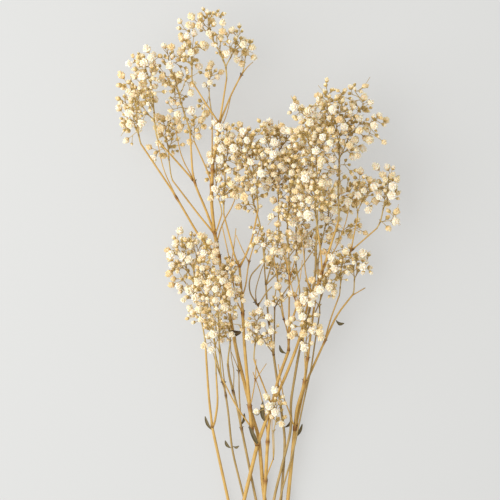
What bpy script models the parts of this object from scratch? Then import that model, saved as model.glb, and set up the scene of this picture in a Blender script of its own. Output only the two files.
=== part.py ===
"""A loose bunch of dried gypsophila: ten cut stems lying on a flat surface.

Every stem is its own solid. Its fine sprays of buds and blooms start a hair's
breadth past the tips of its side branches, and its few dry leaves sit at its joints.
Lengths in the tables are millimetres, +Y runs from the cut ends to the flower
heads, +Z points up, and the surface that the bunch lies on is z = 0.
"""
import math
import random

import bmesh
import bpy
from mathutils import Matrix, Vector
from mathutils.kdtree import KDTree

# Driving dimensions
MM = 0.001
GAP = 0.3
SEED = 43

# Twigs and blooms, in millimetres
TWIG_TIP_RADIUS = 0.34
TWIG_GROWTH = 0.045
SHORTEST_TWIG = 1.6
BEAD_STEP = 0.9
SAME_SPRAY_GAP = 0.15
OTHER_NODE_GAP = 0.5
FORK_REACH = 2.4
FORK_BEND = 0.1
FORK_SHARES = (0.45, 0.55, 0.65, 0.75)
SHED_SHARE = 0.6
NARROWEST_FORK = math.radians(34)
FORK_TRIES = 14
WIDEST_TURN = math.radians(72)
ROOT_LENGTH = 0.8
ROOT_CLEAR = 1.8
PRESS = 0.45
BLOOM_KINDS = {
    "bloom": {"radius": (2.5, 3.2), "cuts": (3, 2, 2), "dip": 0.6, "cup": 0.75, "dome": 0.4},
    "bud": {"radius": (1.65, 2.05), "cuts": (1, 1, 1), "dip": 0.82, "cup": 0.95, "dome": 0.8},
    "seed": {"radius": (1.25, 1.5), "cuts": (0, 0, 0), "dip": 1.0, "cup": 1.1, "dome": 1.0},
}
KIND_ODDS = (("bloom", 0.3), ("bud", 0.65), ("seed", 1.0))

COLOURS = {
    "straw": ((0.55, 0.36, 0.14, 1.0), 0.6),
    "olive_straw": ((0.42, 0.31, 0.14, 1.0), 0.65),
    "cream": ((0.84, 0.76, 0.62, 1.0), 0.8),
    "dry_leaf": ((0.14, 0.12, 0.07, 1.0), 0.75),
}

# Stems: for each branch its radius at the start and the end, its number of sides,
# and the points it runs through. Later branches of a stem start on earlier ones.
STEMS = {
    "stem_a": ("straw", (
        (1.0, 0.85, 6, ((10, -214, 0.72), (-2, -160, 0.95), (-14.5, -100, 2.8), (-20, -74, 4.2),
                        (-26.5, -44, 8), (-29, -32, 10))),
        (0.75, 0.6, 4, ((-29, -32, 10), (-31, -14, 13.5), (-32.5, 10, 17), (-33, 20, 18))),
        (0.7, 0.5, 4, ((-29, -32, 10), (-27.5, -29, 11), (-25.5, -17, 14), (-26.5, 1, 17.5))),
    )),
    "stem_b": ("olive_straw", (
        (0.8, 0.6, 6, ((18.5, -212, 0.55), (3, -130, 1.0), (-10.2, -74, 3), (-17.1, -46, 6.2),
                       (-19.2, -23, 10), (-21.3, -8.6, 12.5), (-24, 0.4, 14.5))),
    )),
    "stem_c": ("olive_straw", (
        (0.95, 0.7, 6, ((24, -216, 0.68), (14.5, -160, 0.95), (-3, -74, 2.8), (-7.8, -50, 5),
                        (-11.4, -32, 8), (-13.5, -21, 9.5), (-18.6, -1, 12.5), (-19.5, 6.4, 13.5))),
    )),
    "stem_g": ("straw", (
        (1.3, 0.95, 6, ((29.5, -218, 0.98), (12.5, -130, 1.3), (2.4, -74, 3), (-0.6, -38, 5.8),
                        (-4.8, -25, 7.3), (-8.4, -9, 8.6), (-13.8, 12, 11), (-24.6, 71, 20),
                        (-27.3, 85.6, 24), (-29.4, 106, 31), (-28.2, 127, 36))),
        (0.75, 0.5, 4, ((-24.6, 71, 20), (-36, 83, 23), (-51, 109, 28), (-71.4, 139.6, 32))),
        (0.6, 0.45, 4, ((-27.3, 85.6, 24), (-36, 96, 25), (-52.8, 118, 23))),
        (0.8, 0.5, 4, ((-27.3, 85.6, 24), (-32.4, 100, 29), (-40.2, 118, 34), (-41.7, 146.2, 38.5))),
        (0.6, 0.45, 4, ((-40.2, 118, 34), (-48.6, 127.6, 38), (-60.6, 140.8, 43))),
        (0.5, 0.4, 4, ((-29.1, 116, 33.4), (-31.8, 124, 32), (-39.6, 141.4, 29))),
        (0.5, 0.4, 4, ((-28.6, 125, 35.5), (-28.6, 140, 34), (-28.6, 155, 34))),
        (0.75, 0.6, 4, ((-28.2, 127, 36), (-25.8, 142, 39), (-24.3, 151.3, 40.5))),
        (0.55, 0.45, 4, ((-24.3, 151.3, 40.5), (-33, 164.2, 43), (-40.2, 175.6, 45))),
        (0.6, 0.45, 4, ((-24.3, 151.3, 40.5), (-22.2, 163, 42), (-19.8, 178, 44.5))),
        (0.6, 0.45, 4, ((-24.3, 151.3, 40.5), (-16.8, 169.6, 39), (-10.2, 182.2, 38))),
        (0.5, 0.4, 4, ((-27.3, 85.6, 24), (-25.8, 88.5, 27), (-22.8, 98, 29))),
    )),
    "stem_f": ("straw", (
        (1.3, 1.15, 6, ((-34.5, -216, 0.98), (-26.5, -160, 3.0), (-15, -100, 5.4), (-9, -74, 6.4),
                        (-1.5, -43, 8))),
        (1.15, 0.75, 6, ((-1.5, -43, 8), (-4.8, -36, 10), (-6.6, -14, 14), (-9.6, 21, 21.5),
                         (-10.8, 46, 27), (-12.3, 65.8, 32))),
        (0.6, 0.45, 4, ((-12.3, 65.8, 32), (-15, 71.8, 33), (-21.6, 97, 37))),
        (0.65, 0.5, 4, ((-12.3, 65.8, 32), (-9, 71.8, 34), (-4.8, 82, 37), (-1.2, 100, 42))),
        (1.05, 0.6, 6, ((-1.5, -43, 8), (6, -21, 14), (15, -2, 18), (24, 22, 22.5), (29.4, 46, 29),
                        (34.8, 55, 32), (46.8, 94, 43))),
        (0.6, 0.4, 4, ((35.6, 58, 33), (51, 72.4, 31), (70.2, 89.2, 33))),
        (0.45, 0.4, 4, ((54.6, 75.6, 31.4), (56.4, 86, 32), (58.2, 94, 33))),
        (0.5, 0.4, 4, ((-5.2, -32, 11.1), (-14.4, -19, 15), (-23, -1.4, 21))),
        (0.55, 0.45, 4, ((37.2, 63, 34.8), (36, 75, 42), (34, 88, 50))),
    )),
    "stem_h": ("straw", (
        (1.2, 0.9, 6, ((-12, -218, 1.9), (-5.5, -160, 3.45), (3, -74, 5.65), (5.4, -29, 10.4),
                       (10.2, -5, 13), (17.4, 15, 17))),
        (0.75, 0.55, 4, ((17.4, 15, 17), (17.4, 25, 19), (19.8, 35, 21), (24, 47, 24))),
        (0.6, 0.45, 4, ((17.4, 25, 19), (17.7, 47, 22), (17.7, 64, 26))),
        (0.45, 0.4, 4, ((17.4, 23, 18.6), (15.6, 31, 20), (13.5, 37, 21))),
        (0.5, 0.45, 4, ((6.9, -18, 11.3), (4.8, -13, 13.2), (-1.8, 4, 18.5), (-3.6, 10, 20.5))),
        (0.45, 0.4, 4, ((3.5, -64, 6.7), (6, -57, 8), (8.4, -51, 9))),
    )),
    "stem_n": ("olive_straw", (
        (0.95, 0.7, 6, ((-8.5, -220, 1.6), (-2, -160, 3.2), (4.8, -100, 4.55), (9, -74, 5.9),
                        (19.2, -33, 12.5), (18.6, -17, 14), (23.4, 13, 17.5), (30, 39, 21.5),
                        (33.6, 64, 26), (33.6, 76, 29))),
    )),
    "stem_l": ("olive_straw", (
        (0.65, 0.45, 6, ((-4, -212, 2.2), (1.5, -160, 3.05), (8.3, -100, 4.4), (12.6, -74, 7.7),
                         (20.4, -47, 11.8), (26.4, -17, 13.2), (31.2, 4, 14.6), (33.6, 21, 14.4),
                         (36.5, 38, 13))),
    )),
    "stem_j": ("olive_straw", (
        (0.95, 0.75, 6, ((2, -214, 2.6), (6.5, -160, 3.5), (13.2, -74, 5.0), (15, -50, 6.8),
                         (15.3, -38, 7.5), (10.2, -1, 10.5), (8.4, 12, 11.5))),
        (0.65, 0.55, 4, ((8.4, 12, 11.5), (4.8, 37, 17), (3.6, 55, 21))),
        (0.45, 0.4, 4, ((3.6, 55, 21), (3, 61, 23), (2.4, 72, 26))),
        (0.45, 0.4, 4, ((3.6, 55, 21), (6, 64, 24), (11, 80, 29))),
        (0.5, 0.4, 4, ((8.4, 12, 11.5), (8.7, 19, 13), (9, 47, 19))),
        (0.45, 0.4, 4, ((5.2, 33, 16.1), (1.5, 38, 19), (-1.2, 42.4, 21), (-6, 50, 25),
                        (-6.6, 56, 27), (-5.4, 61, 29), (1.8, 69, 31.5))),
        (0.4, 0.4, 4, ((-1.2, 42.4, 21), (4.2, 51, 25), (7.2, 54, 27))),
    )),
    "stem_m": ("straw", (
        (1.3, 1.1, 6, ((5.5, -218, 3.4), (10, -160, 3.5), (17.4, -74, 5.6), (21.3, -34, 10))),
        (0.9, 0.5, 4, ((21.3, -34, 10), (27, -7, 11.4), (36, 13, 14), (46.2, 36.4, 20),
                       (56.4, 49.6, 23))),
        (0.35, 0.3, 4, ((55.6, 48.6, 22.8), (63.6, 53.2, 23.5))),
        (0.5, 0.4, 4, ((39.6, 22, 16.2), (42.6, 34, 20), (48, 49, 24))),
        (0.95, 0.6, 4, ((21.3, -34, 10), (22.2, -21, 13), (27, -5, 17.5), (30.6, 25, 22.5),
                        (32.4, 40, 25), (34.8, 55, 28))),
        (0.5, 0.4, 4, ((27, -5, 17.5), (27.5, 4, 22), (27, 11, 26))),
    )),
}

# Sprays: the stem and the branch whose tip carries it, then its clusters of blooms,
# each an egg-shaped region with its centre, half sizes and number of blooms
SPRAYS = {
    "spray_a_left": ("stem_a", 1, (((-48, 72, 11), (9, 14, 11), 16), ((-42, 52, 10), (6, 15, 10), 12),
                                   ((-38, 80, 24), (10, 9, 9), 13))),
    "spray_a_right": ("stem_a", 2, (((-33, 64, 36), (8, 13, 8), 15), ((-33, 40, 34), (7, 11, 8), 10))),
    "spray_b": ("stem_b", 0, (((-32, 50, 7), (8, 15, 7), 12), ((-27, 27, 8), (6, 9, 6), 7))),
    "spray_c": ("stem_c", 0, (((-20, 62, 31), (7, 12, 9), 14), ((-18, 46, 29), (6, 7, 7), 8),
                              ((-21, 30, 24), (7, 8, 6), 8))),
    "spray_d": ("stem_f", 7, (((-25, 52, 47), (9, 13, 6), 12), ((-27, 30, 40), (8, 9, 6), 8))),
    "spray_g_outer": ("stem_g", 1, (((-80, 160, 25), (7, 14, 14), 16), ((-74, 176, 36), (8, 8, 9), 8))),
    "spray_g_side": ("stem_g", 4, (((-68, 168, 48), (9, 14, 10), 20), ((-66, 184, 44), (9, 8, 8), 8))),
    "spray_g_middle": ("stem_g", 3, (((-50, 176, 38), (9, 14, 11), 20), ((-56, 190, 36), (8, 8, 8), 8))),
    "spray_g_low": ("stem_g", 2, (((-57, 148, 10), (8, 12, 9), 12),)),
    "spray_g_inner": ("stem_g", 5, (((-41, 152, 26), (6, 7, 6), 6),)),
    "spray_g_slim": ("stem_g", 6, (((-30, 178, 33), (5, 12, 6), 7),)),
    "spray_g_fork_left": ("stem_g", 8, (((-42, 196, 45), (7, 13, 9), 15),)),
    "spray_g_fork_top": ("stem_g", 9, (((-33, 212, 44), (9, 8, 8), 12), ((-24, 200, 46), (6, 9, 7), 8),
                                       ((-11, 202, 42), (6, 6, 6), 7))),
    "spray_g_fork_right": ("stem_g", 10, (((-8, 200, 32), (5, 7, 5), 5),)),
    "spray_g_column": ("stem_g", 11, (((-26, 128, 26), (6, 14, 8), 10),)),
    "spray_f_left": ("stem_f", 2, (((-22, 138, 42), (8, 14, 10), 18), ((-18, 114, 44), (7, 8, 7), 7))),
    "spray_f_middle": ("stem_f", 3, (((-8, 140, 44), (9, 12, 10), 18), ((4, 132, 48), (8, 12, 8), 12),
                                     ((-7, 118, 46), (7, 7, 7), 7))),
    "spray_f_right": ("stem_f", 4, (((48, 128, 46), (10, 14, 10), 20), ((56, 150, 44), (9, 13, 9), 13),
                                    ((44, 158, 50), (10, 12, 8), 13))),
    "spray_f_front": ("stem_f", 8, (((32, 112, 62), (10, 14, 8), 14), ((30, 140, 60), (11, 14, 9), 14))),
    "spray_f_far": ("stem_f", 5, (((78, 113, 34), (7, 11, 9), 12), ((79, 96, 33), (4, 4, 4), 2))),
    "spray_f_far_low": ("stem_f", 6, (((60, 112, 33), (8, 9, 8), 10),)),
    "spray_j_left": ("stem_j", 2, (((-6, 110, 26), (8, 13, 8), 12), ((-10, 135, 24), (9, 10, 8), 8))),
    "spray_j_right": ("stem_j", 3, (((8, 120, 28), (8, 16, 10), 16), ((14, 143, 32), (7, 10, 8), 9))),
    "spray_j_curl": ("stem_j", 5, (((6, 84, 40), (7, 8, 7), 9),)),
    "spray_j_low": ("stem_j", 4, (((12, 66, 15), (8, 10, 7), 7),)),
    "spray_h_left": ("stem_h", 1, (((22, 92, 24), (9, 14, 9), 14), ((22, 124, 16), (10, 16, 11), 16))),
    "spray_h_right": ("stem_h", 2, (((17, 104, 42), (8, 13, 9), 13), ((20, 132, 44), (8, 13, 9), 11))),
    "spray_h_small": ("stem_h", 3, (((12.5, 46, 24), (5, 4, 4), 4),)),
    "spray_h_curved": ("stem_h", 4, (((1, 26, 28), (8, 8, 7), 9), ((-3, 38, 30), (6, 4, 4), 5))),
    "spray_h_base": ("stem_h", 5, (((9, -17, 21), (5, 8, 3), 5),)),
    "spray_n": ("stem_n", 0, (((33, 115, 28), (9, 16, 9), 16), ((36, 146, 34), (10, 13, 9), 14))),
    "spray_l": ("stem_l", 0, (((39, 58, 6), (8, 9, 7), 10), ((33, 52, 6), (7, 8, 6), 6))),
    "spray_m_left": ("stem_m", 4, (((46, 100, 13), (9, 14, 12), 12), ((30, 84, 9), (8, 9, 8), 6))),
    "spray_m_right": ("stem_m", 1, (((58, 70, 24), (7, 8, 8), 10),)),
    "spray_m_middle": ("stem_m", 3, (((48, 66, 30), (8, 9, 8), 12),)),
    "spray_m_front": ("stem_m", 5, (((28, 28, 34), (6, 10, 5), 8),)),
}
DENSITY = 1.08

# Leaves: the stem, the place on it where the leaf sits, the leaf's tip, its width,
# and how far its middle arches out
LEAF_THICKNESS = 0.7
LEAF_STEPS = 4
LEAF_FOOT = 0.06
LEAF_POINT = 0.95
UP = Vector((0, 0, 1))
LEAVES = {
    "leaf_f_joint": ("stem_f", (-2.4, -43, 8.4), (-6.6, -31, 15.5), 2.8, 0.5),
    "leaf_f_tongue": ("stem_f", (-5.8, -23.6, 12.4), (0.4, -21.6, 14), 3.0, 0.6),
    "leaf_f_long": ("stem_f", (3.4, -28.5, 12.4), (1.8, -15.5, 19.5), 2.8, 0.8),
    "leaf_f_dark": ("stem_f", (-9.7, 26, 22.6), (-19, 27.6, 25.5), 3.8, 1.0),
    "leaf_h_fork": ("stem_h", (16.6, 12.6, 16.4), (11.8, 18.5, 20.5), 2.6, 0.9),
    "leaf_j_curl": ("stem_j", (14.6, -33, 7.8), (19.6, -26.5, 5), 2.8, 1.2),
    "leaf_m_joint": ("stem_m", (20.6, -38.5, 9.6), (26, -30.5, 5), 2.6, 0.9),
    "leaf_m_curl": ("stem_m", (44.8, 33, 19.2), (51.2, 31.5, 15.5), 2.8, 1.0),
    "leaf_b_left": ("stem_b", (-17.2, -45.4, 6.3), (-21.2, -40.5, 6), 2.6, 0.5),
    "leaf_b_right": ("stem_b", (-17.2, -44.6, 6.3), (-12.6, -43.5, 9.5), 2.2, 0.5),
    "leaf_a_joint": ("stem_a", (-28.6, -33.6, 9.7), (-33.4, -25.4, 9.5), 2.6, 0.6),
    "leaf_c_joint": ("stem_c", (-11.6, -31.3, 8), (-9.5, -24, 3.6), 2.4, 0.8),
}


def lerp(low, high, part):
    return low + (high - low) * part


def beads(start, end, radius_start, radius_end):
    """A twig as a row of balls, for keeping solids clear of each other."""
    length = (end - start).length
    count = max(2, int(length / BEAD_STEP) + 2)
    parts = [index / (count - 1) for index in range(count)]
    return [(start.lerp(end, part), lerp(radius_start, radius_end, part)) for part in parts]


class Space:
    """The balls of everything that is already in place."""

    def __init__(self):
        self.balls = []
        self.tree = None
        self.widest = 0.0

    def add_quietly(self, balls):
        self.balls += balls

    def add(self, balls):
        self.add_quietly(balls)
        self.settle()

    def settle(self):
        self.widest = max(ball[1] for ball in self.balls)
        self.tree = KDTree(len(self.balls))
        for index, ball in enumerate(self.balls):
            self.tree.insert(ball[0], index)
        self.tree.balance()

    def hit(self, balls, gap):
        for point, radius in balls:
            for _, index, distance in self.tree.find_range(point, radius + self.widest + gap):
                if distance < radius + self.balls[index][1] + gap:
                    return True
        return False


def draw_kind(rng):
    share = rng.random()
    return next(kind for kind, limit in KIND_ODDS if share < limit)


def draw_blooms(rng, clusters, space):
    """Seeded places for a spray's blooms, apart from each other and from what stands."""
    blooms = []
    for centre, halves, count in clusters:
        wanted = len(blooms) + max(2, round(count * DENSITY))
        for _ in range(count * 40):
            if len(blooms) == wanted:
                break
            kind = draw_kind(rng)
            radius = lerp(*BLOOM_KINDS[kind]["radius"], rng.random())
            offset = Vector([rng.uniform(-1, 1) for _ in range(3)])
            if offset.length > 1.0:
                continue
            place = Vector(centre) + Vector([o * h for o, h in zip(offset, halves)])
            place.z = max(place.z, PRESS * radius)
            if space.hit([(place, radius)], OTHER_NODE_GAP):
                continue
            if any((place - other[0]).length < radius + other[1] + SAME_SPRAY_GAP for other in blooms):
                continue
            blooms.append((place, radius, kind))
    return blooms


def twig_radius(carried):
    return TWIG_TIP_RADIUS + TWIG_GROWTH * (math.sqrt(carried) - 1)


def middle(blooms):
    return sum((bloom[0] for bloom in blooms), Vector()) / len(blooms)


def bloom_seat(start, bloom):
    """Where a twig ends under its bloom, a cup's depth short of the bloom's rim."""
    place, radius, kind = bloom
    return place - (place - start).normalized() * radius * BLOOM_KINDS[kind]["cup"]


def split(start, blooms):
    """Two groups round the two blooms that lie furthest apart as seen from a fork."""
    ways = [(bloom, (bloom[0] - start).normalized()) for bloom in blooms]
    heart = sum((way for _, way in ways), Vector()).normalized()
    first = min(ways, key=lambda pair: pair[1].dot(heart))
    last = min(ways, key=lambda pair: pair[1].dot(first[1]))
    near = [bloom for bloom, way in ways if way.dot(first[1]) >= way.dot(last[1])]
    return near, [bloom for bloom in blooms if bloom not in near]


def too_close(balls, joint, own):
    """Whether a new twig meets one of its own spray away from a shared fork."""
    for centre, reach, others in own:
        if (balls[len(balls) // 2][0] - centre).length > reach + BEAD_STEP * len(balls):
            continue
        for point, radius in balls:
            if (point - joint).length < FORK_REACH:
                continue
            for place, wide in others:
                if (point - place).length < radius + wide + SAME_SPRAY_GAP:
                    return True
    return False


def fork(start, blooms, rng):
    """Where a twig forks and the two groups that part there. It forks where the groups
    lie in two clear directions, or else just before its nearest bloom, which it sheds."""
    way = (middle(blooms) - start).normalized()
    bent = (way + Vector([rng.uniform(-1, 1) for _ in range(3)]) * FORK_BEND).normalized()
    nearest = min(blooms, key=lambda bloom: (bloom[0] - start).dot(way))
    room = (nearest[0] - start).dot(way) * rng.uniform(0.9, 1.1)
    for share in FORK_SHARES:
        end = start + bent * room * share
        groups = split(end, blooms)
        one, two = [middle(group) - end for group in groups]
        if one.angle(two) > NARROWEST_FORK:
            return end, groups
    end = start + bent * room * SHED_SHARE
    return end, ([nearest], [bloom for bloom in blooms if bloom is not nearest])


def reachable(start, heading, blooms):
    """The blooms that a twig can still turn to and has room to end under."""
    kept = []
    for bloom in blooms:
        way = bloom_seat(start, bloom) - start
        ahead = (bloom[0] - start).dot(bloom_seat(start, bloom) - start) > 0
        if ahead and way.length >= SHORTEST_TWIG and way.angle(heading) < WIDEST_TURN:
            kept.append(bloom)
    return kept


def grow(start, heading, blooms, rng, space, own, root):
    """A twig with what it carries, a bloom or two more twigs, or None if it has no room."""
    blooms = reachable(start, heading, blooms)
    for attempt in range(FORK_TRIES):
        if not blooms:
            return None
        single = len(blooms) == 1
        if single:
            end = bloom_seat(start, blooms[0])
        else:
            end, groups = fork(start, blooms, rng)
        way = end - start
        radius = twig_radius(len(blooms))
        balls = beads(start, end, radius, radius)
        free = [ball for ball in balls if (ball[0] - root).length > ROOT_CLEAR]
        if way.length < SHORTEST_TWIG:
            near = min(blooms, key=lambda bloom: (bloom[0] - start).length)
            blooms = [bloom for bloom in blooms if bloom is not near]
        elif space.hit(free, OTHER_NODE_GAP) or too_close(balls, start, own):
            if single or attempt % 4 == 3:
                blooms = blooms[1:]
        else:
            break
    else:
        return None
    own.append((balls[len(balls) // 2][0], way.length / 2 + radius, balls))
    twig = {"start": start, "end": end, "radius": radius, "balls": balls, "kids": [], "bloom": None}
    if single:
        twig["bloom"] = blooms[0]
        return twig
    kids = [grow(end, way, group, rng, space, own, root) for group in sorted(groups, key=len, reverse=True)]
    twig["kids"] = [kid for kid in kids if kid]
    return twig if twig["kids"] else None


def all_twigs(twig):
    return [twig] + [other for kid in twig["kids"] for other in all_twigs(kid)]


def flat_axes(direction):
    """Two axes across a direction."""
    turn = direction.to_track_quat("Z", "Y")
    return turn @ Vector((1, 0, 0)), turn @ Vector((0, 1, 0))


def even_corners(face, centre, direction, radius, aim=None):
    """Places for a triangle's corners on a ring, turned as little as possible, and,
    with an aim, turned so that one corner's median lies square to it."""
    across, up = flat_axes(direction)
    heart = face.calc_center_median()
    third = 2 * math.pi / 3
    turns = []
    for index, vert in enumerate(face.verts):
        arm = vert.co - heart
        turns.append(math.atan2(arm.dot(up), arm.dot(across)) - index * third)
    roll = math.atan2(sum(math.sin(t) for t in turns), sum(math.cos(t) for t in turns))
    if aim:
        wanted = math.atan2(aim.dot(up), aim.dot(across)) + math.pi / 2
        step = math.pi / 3
        roll += (wanted - roll + step / 2) % step - step / 2
    angles = [roll + index * third for index in range(3)]
    return [centre + radius * (math.cos(a) * across + math.sin(a) * up) for a in angles]


def pull(bm, face, centre, direction, radius, aim=None):
    """Extrude a triangle to a ring at a new place."""
    face = bmesh.ops.extrude_discrete_faces(bm, faces=[face])["faces"][0]
    for vert, place in zip(face.verts, even_corners(face, centre, direction, radius, aim)):
        vert.co = place
    return face


def add_bloom(bm, face, bloom, direction):
    """A cup that widens from the twig's end to a rim of petals, with a domed top."""
    place, radius, kind = bloom
    shape = BLOOM_KINDS[kind]
    face = pull(bm, face, place, direction, radius)
    for edge, cuts in zip(list(face.edges), shape["cuts"]):
        for _ in range(cuts):
            bmesh.utils.edge_split(edge, edge.verts[0], 0.5)
    across, up = flat_axes(direction)
    first = face.verts[0].co - place
    roll = math.atan2(first.dot(up), first.dot(across))
    count = len(face.verts)
    for index, vert in enumerate(face.verts):
        angle = roll + 2 * math.pi * index / count
        reach = radius * (shape["dip"] if index % 2 else 1.0)
        vert.co = place + reach * (math.cos(angle) * across + math.sin(angle) * up)
    top = bmesh.ops.poke(bm, faces=[face])["verts"][0]
    top.co = place + direction * radius * shape["dome"]


def cut_in_half(bm, face, aim):
    """Split a triangle along the median square to the aim; the half on its side first."""
    heart = face.calc_center_median()
    corner = min(face.verts, key=lambda vert: abs((vert.co - heart).normalized().dot(aim.normalized())))
    opposite = next(edge for edge in face.edges if corner not in edge.verts)
    foot = bmesh.utils.edge_split(opposite, opposite.verts[0], 0.5)[1]
    other = bmesh.utils.face_split(face, corner, foot)[0]
    return sorted((face, other), key=lambda half: -(half.calc_center_median() - heart).dot(aim))


def add_twig(bm, face, twig):
    """Extrude a twig from a face, and from its end whatever grows there."""
    direction = (twig["end"] - twig["start"]).normalized()
    kids = twig["kids"]
    if twig["bloom"]:
        face = pull(bm, face, twig["end"], direction, TWIG_TIP_RADIUS)
        add_bloom(bm, face, twig["bloom"], direction)
        return
    ways = [(kid["end"] - kid["start"]).normalized() for kid in kids]
    if len(kids) == 1:
        face = pull(bm, face, twig["end"], (direction + ways[0]).normalized(), kids[0]["radius"])
        add_twig(bm, face, kids[0])
        return
    aim = ways[0] - ways[1]
    aim -= aim.dot(direction) * direction
    face = pull(bm, face, twig["end"], direction, twig["radius"], aim)
    for half, kid in zip(cut_in_half(bm, face, aim), kids):
        add_twig(bm, half, kid)


def material(name):
    colour, roughness = COLOURS[name]
    result = bpy.data.materials.new(name)
    result.use_nodes = True
    shader = result.node_tree.nodes["Principled BSDF"]
    shader.inputs["Base Color"].default_value = colour
    shader.inputs["Roughness"].default_value = roughness
    return result


def new_object(name, mesh, collection):
    thing = bpy.data.objects.new(name, mesh)
    collection.objects.link(thing)
    return thing


def to_real_size(bm):
    """From table millimetres to the part's own frame in metres."""
    bmesh.ops.scale(bm, verts=bm.verts, vec=(MM, MM, MM))


def flatten_underside(bm):
    """Cut off what lies below the surface, so the piece rests on small flat spots."""
    if min(vert.co.z for vert in bm.verts) >= 0:
        return
    geometry = bm.verts[:] + bm.edges[:] + bm.faces[:]
    cut = bmesh.ops.bisect_plane(bm, geom=geometry, dist=0.000001, plane_co=(0, 0, 0),
                                 plane_no=(0, 0, -1), clear_outer=True)
    rim = [item for item in cut["geom_cut"] if isinstance(item, bmesh.types.BMEdge)]
    bmesh.ops.holes_fill(bm, edges=rim, sides=0)


def build_spray(name, twig, root_radius, collection, finish):
    bm = bmesh.new()
    heading = (twig["end"] - twig["start"]).normalized()
    turn = heading.to_track_quat("Z", "Y").to_matrix().to_4x4()
    middle_of_root = Matrix.Translation(twig["start"] + heading * ROOT_LENGTH / 2)
    bmesh.ops.create_cone(bm, cap_ends=True, segments=3, radius1=root_radius,
                          radius2=root_radius, depth=ROOT_LENGTH, matrix=middle_of_root @ turn)
    bm.normal_update()
    root = max(bm.faces, key=lambda face: face.normal.dot(heading))
    add_twig(bm, root, twig)
    bmesh.ops.remove_doubles(bm, verts=bm.verts, dist=0.00001)
    flatten_underside(bm)
    bmesh.ops.triangulate(bm, faces=bm.faces[:])
    to_real_size(bm)
    mesh = bpy.data.meshes.new(name)
    bm.to_mesh(mesh)
    bm.free()
    mesh.materials.append(finish)
    return new_object(name, mesh, collection)


def stem_tip(stem, branch):
    """The end of a stem's branch and its direction there."""
    points = STEMS[stem][1][branch][3]
    end = Vector(points[-1])
    return end, (end - Vector(points[-2])).normalized()


def branch_mesh(radius_start, radius_end, sides, points):
    """A tapering tube along a branch, its first end sunk into what it grows from."""
    curve = bpy.data.curves.new("branch", "CURVE")
    curve.dimensions = "3D"
    curve.bevel_depth = 1.0
    curve.bevel_resolution = 1 if sides == 6 else 0
    curve.use_fill_caps = True
    spline = curve.splines.new("POLY")
    spline.points.add(len(points) - 1)
    places = [Vector(point) for point in points]
    for index, (point, place) in enumerate(zip(spline.points, places)):
        part = index / (len(places) - 1)
        point.co = (*place, 1.0)
        point.radius = lerp(radius_start, radius_end, part)
    guide = bpy.data.objects.new("branch", curve)
    bpy.context.scene.collection.objects.link(guide)
    ready = guide.evaluated_get(bpy.context.evaluated_depsgraph_get())
    bm = bmesh.new()
    bm.from_mesh(ready.to_mesh())
    bpy.data.objects.remove(guide)
    bmesh.ops.remove_doubles(bm, verts=bm.verts, dist=0.0001)
    to_real_size(bm)
    mesh = bpy.data.meshes.new("branch")
    bm.to_mesh(mesh)
    bm.free()
    return mesh


def fused(name, meshes, collection):
    """One solid from a piece's overlapping meshes."""
    pieces = bpy.data.collections.new(name + "_pieces")
    whole = new_object(name, meshes[0], collection)
    for mesh in meshes[1:]:
        new_object("piece", mesh, pieces)
    if meshes[1:]:
        union = whole.modifiers.new("union", "BOOLEAN")
        union.operation = "UNION"
        union.operand_type = "COLLECTION"
        union.collection = pieces
        ready = whole.evaluated_get(bpy.context.evaluated_depsgraph_get())
        mesh = bpy.data.meshes.new_from_object(ready)
        whole.modifiers.remove(union)
        whole.data = mesh
    for piece in list(pieces.objects):
        bpy.data.objects.remove(piece)
    bpy.data.collections.remove(pieces)
    return whole


def build_stem(name, finish, branches, collection):
    meshes = []
    for index, (radius_start, radius_end, sides, points) in enumerate(branches):
        if index:
            first, second = Vector(points[0]), Vector(points[1])
            start = first - (second - first).normalized() * radius_start
            points = (tuple(start),) + points[1:]
        meshes.append(branch_mesh(radius_start, radius_end, sides, points))
    stem = fused(name, meshes, collection)
    bm = bmesh.new()
    bm.from_mesh(stem.data)
    flatten_underside(bm)
    bmesh.ops.triangulate(bm, faces=bm.faces[:])
    bm.to_mesh(stem.data)
    bm.free()
    stem.data.materials.clear()
    stem.data.materials.append(finish)
    return stem


def nearest_on_stem(stem, place):
    """The closest point on a stem's routes, the direction there and the radius."""
    best = None
    for radius_start, radius_end, _, points in STEMS[stem][1]:
        places = [Vector(point) for point in points]
        for index, (start, end) in enumerate(zip(places, places[1:])):
            along = end - start
            part = min(1.0, max(0.0, (place - start).dot(along) / along.length_squared))
            point = start + along * part
            away = (place - point).length
            if best is None or away < best[0]:
                radius = lerp(radius_start, radius_end, (index + part) / (len(places) - 1))
                best = (away, point, along.normalized(), radius)
    return best[1:]


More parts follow.
